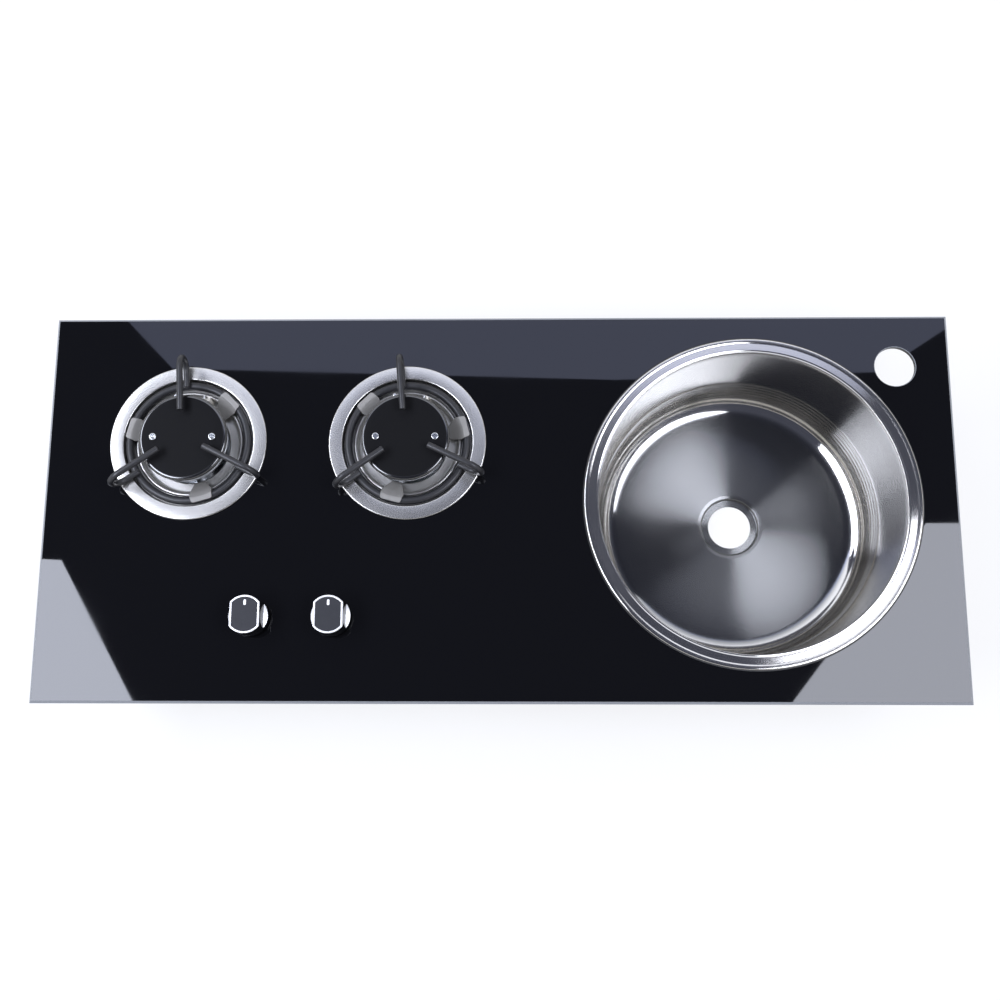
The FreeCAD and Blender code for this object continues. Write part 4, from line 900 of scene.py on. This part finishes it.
def makeKnobBody(size):
    skirtTop = size["step"] - size["trim"]
    body = rod("knobBody", knobRadius, size["base"], skirtTop, vertices=size["steps"])
    bevelAt(body, size["base"], size["skirtRound"])
    gripTop = size["top"] - size["trim"]
    grip = gripOutline("grip", size, 0.0, gripTop)
    pull(0, 0, skirtTop - size["gripSink"] - gripTop)
    bpy.ops.transform.resize(value=(*size["draft"], 1.0), center_override=(0, 0, 0))
    recalculate(grip)
    combine(body, grip, "UNION")
    bore = rod("stemBore", size["stemRadius"], size["base"] - size["cutPast"], size["stemTop"])
    combine(body, bore, "DIFFERENCE")
    return body


def makeCrescent(size):
    # what the grip leaves free of the round step, rising a little towards the grip
    side = size["gripFlat"] + size["crescentGap"]
    low = size["step"] - size["trim"]
    deselectAll()
    bpy.ops.mesh.primitive_circle_add(
        vertices=size["steps"], radius=knobRadius * mm, fill_type="NGON", location=(0, 0, low * mm))
    crescent = addedPiece("crescent")
    editPiece(crescent, "FACE", "SELECT")
    pull(0, 0, size["crescentEdge"])
    pull(0, 0, size["crescentRise"])
    narrow = (side - size["crescentIn"]) / knobRadius
    bpy.ops.transform.resize(value=(narrow, narrow, 1.0), center_override=(0, 0, 0))
    bpy.ops.mesh.select_all(action="SELECT")
    bpy.ops.mesh.bisect(plane_co=(side * mm, 0, 0), plane_no=(1, 0, 0), clear_inner=True, use_fill=True)
    recalculate(crescent)
    bevelAt(crescent, low + size["crescentEdge"], size["crescentRound"])
    return crescent


def makeTrim(size):
    # the ring is bridged between an outer and an inner outline
    low = size["top"] - size["trim"]
    inner = gripOutline("trimInner", size, size["trimWidth"], low)
    ring = gripOutline("knobTrim", size, 0.0, low)
    joinInto(ring, [inner])
    editPiece(ring, "EDGE", "SELECT")
    bpy.ops.mesh.delete(type="ONLY_FACE")
    bpy.ops.mesh.select_all(action="SELECT")
    bpy.ops.mesh.bridge_edge_loops()
    pullUp(ring, size["trim"])
    bevelAt(ring, size["top"], size["trimRound"], size["trimSteps"])
    crescent = makeCrescent(size)
    joinInto(ring, [crescent, copyTo(crescent, "otherCrescent", turn=math.pi)])
    return ring


def makePointer(size, name, grow=0.0, rise=0.0):
    low = size["top"] - size["faceDrop"] - size["pointerDepth"]
    deselectAll()
    bpy.ops.mesh.primitive_plane_add(size=mm, location=(0, size["pointerPlace"] * mm, low * mm))
    pointer = addedPiece(name, (size["pointerWidth"] + 2 * grow, size["pointerLength"] + 2 * grow, 1))
    editPiece(pointer, action="SELECT")
    bpy.ops.mesh.bevel(
        offset=size["pointerWidth"] * size["pointerRound"] * mm, segments=size["pointerSteps"],
        affect="VERTICES")
    return pullUp(pointer, size["pointerDepth"] + rise)


def makeFace(size):
    outline = gripOutline("knobFace", size, size["trimWidth"] + size["faceGap"], size["top"] - size["trim"])
    plate = pullUp(outline, size["trim"] - size["faceDrop"])
    combine(plate, makePointer(size, "pointerSlot", size["slotGap"], size["cutPast"]), "DIFFERENCE")
    return plate


placePair(makeKnobBody(knobSize), "knob_body", "knob_plastic", knobPlace, "knob")
placePair(makeTrim(knobSize), "knob_trim", "knob_chrome", knobPlace, "knob")
placePair(makeFace(knobSize), "knob_face", "knob_face", knobPlace, "knob")
placePair(makePointer(knobSize, "knobPointer"), "knob_pointer", "pointer_white", knobPlace, "knob")
print("knobs made")


# Stem springs: the coils are copied from the frame, welded and shaded smooth, each on a mesh of its own
for side in sides:
    spring = copyTo(frame["nodes"]["stem_spring_" + side], "stemSpring_" + side)
    spring.parent = None
    editPiece(spring, action="SELECT")
    bpy.ops.mesh.remove_doubles(threshold=mergeGap)
    bpy.ops.object.mode_set(mode="OBJECT")
    finishPiece(spring, "panel", "stem_spring_" + side, "stem_steel")
    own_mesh(spring)
print("springs made")


# Floor, lights and camera; lights are in mm at their height over the glass
stageSize = {
    "floorRadius": 2600.0, "cove": 500.0, "wallTop": 1350.0, "steps": 96, "glow": 0.68, "rough": 0.9,
    "tone": "#8a8a8a"}
lightHeight = 1600.0
softboxes = {
    "leftSoftbox": (12.0, "#eaefff", [(-969, 206), (-729, -211), (-729, -692), (-1000, -1000), (-1700, -1000),
                                      (-1700, 900), (-1110, 900), (-1040, 210)]),
    "rightSoftbox": (9.0, "#edf1ff", [(873, 285), (1354, 285), (1735, -92), (1735, -573), (1354, -950),
                                      (873, -950), (505, -720), (574, -92)]),
    "backBounce": (1.8, "#d1daff", [(-754, 633), (-871, 755), (1000, 755), (795, 620), (220, 604)]),
    "farBounce": (1.8, "#e6eaf6", [(-871, 755), (-1610, 1521), (-1610, 2200), (1540, 2200), (1540, 1110),
                                   (1000, 755)])}
surroundings = {"tone": "#d4dcff", "strength": 0.12}
cameraSize = {
    "place": (22.49, -212.39, 1169.82), "turn": (0.20468, 0.02020, -0.00120), "order": "YXZ", "lens": 45.31,
    "sensor": 36.0, "sight": 50000.0}


def makeStage(size):
    section = roundedSection(
        [(0, 0), (size["floorRadius"], 0), (size["floorRadius"], size["wallTop"])], [size["cove"]])
    floor = turnSection("paleFloor", section, size["steps"])
    pick(floor)
    bpy.ops.object.shade_smooth()
    paper = newMaterial("palePaper")
    glow = addNode(
        paper, "ShaderNodeBsdfPrincipled", None,
        {"Base Color": linearColor(size["tone"]), "Roughness": size["rough"], "Specular IOR Level": 0.0,
         "Emission Color": (1, 1, 1, 1), "Emission Strength": size["glow"]})
    floor.data.materials.append(closeMaterial(paper, glow))


def makeSoftbox(name, strength, tone, corners):
    deselectAll()
    bpy.ops.mesh.primitive_circle_add(vertices=len(corners), radius=1.0, fill_type="NGON")
    box = bpy.context.object
    box.name = name
    for vertex, (x, y) in zip(box.data.vertices, corners):
        vertex.co = Vector((x * mm, y * mm, glassTop + lightHeight * mm))
    diffuser = newMaterial(name + "Diffuser")
    shine = addNode(
        diffuser, "ShaderNodeEmission", None, {"Color": linearColor(tone), "Strength": strength})
    addNode(diffuser, "ShaderNodeOutputMaterial", links={"Surface": shine.outputs[0]})
    box.data.materials.append(diffuser)
    box.visible_camera = False


makeStage(stageSize)
for name, (strength, tone, corners) in softboxes.items():
    makeSoftbox(name, strength, tone, corners)
world = bpy.data.worlds.new("dimStudio")
world.use_nodes = True
world.node_tree.nodes["Background"].inputs["Color"].default_value = linearColor(surroundings["tone"])
world.node_tree.nodes["Background"].inputs["Strength"].default_value = surroundings["strength"]
bpy.context.scene.world = world
bpy.context.scene.view_settings.view_transform = "Standard"

camera = bpy.data.objects.new("photoCamera", bpy.data.cameras.new("photoCamera"))
bpy.context.scene.collection.objects.link(camera)
camera.location = Vector(cameraSize["place"]) * mm
camera.rotation_mode = cameraSize["order"]
camera.rotation_euler = cameraSize["turn"]
camera.data.lens = cameraSize["lens"]
camera.data.sensor_width = cameraSize["sensor"]
camera.data.clip_end = cameraSize["sight"] * mm
bpy.context.scene.camera = camera
print("stage, lights and camera set")

deselectAll()
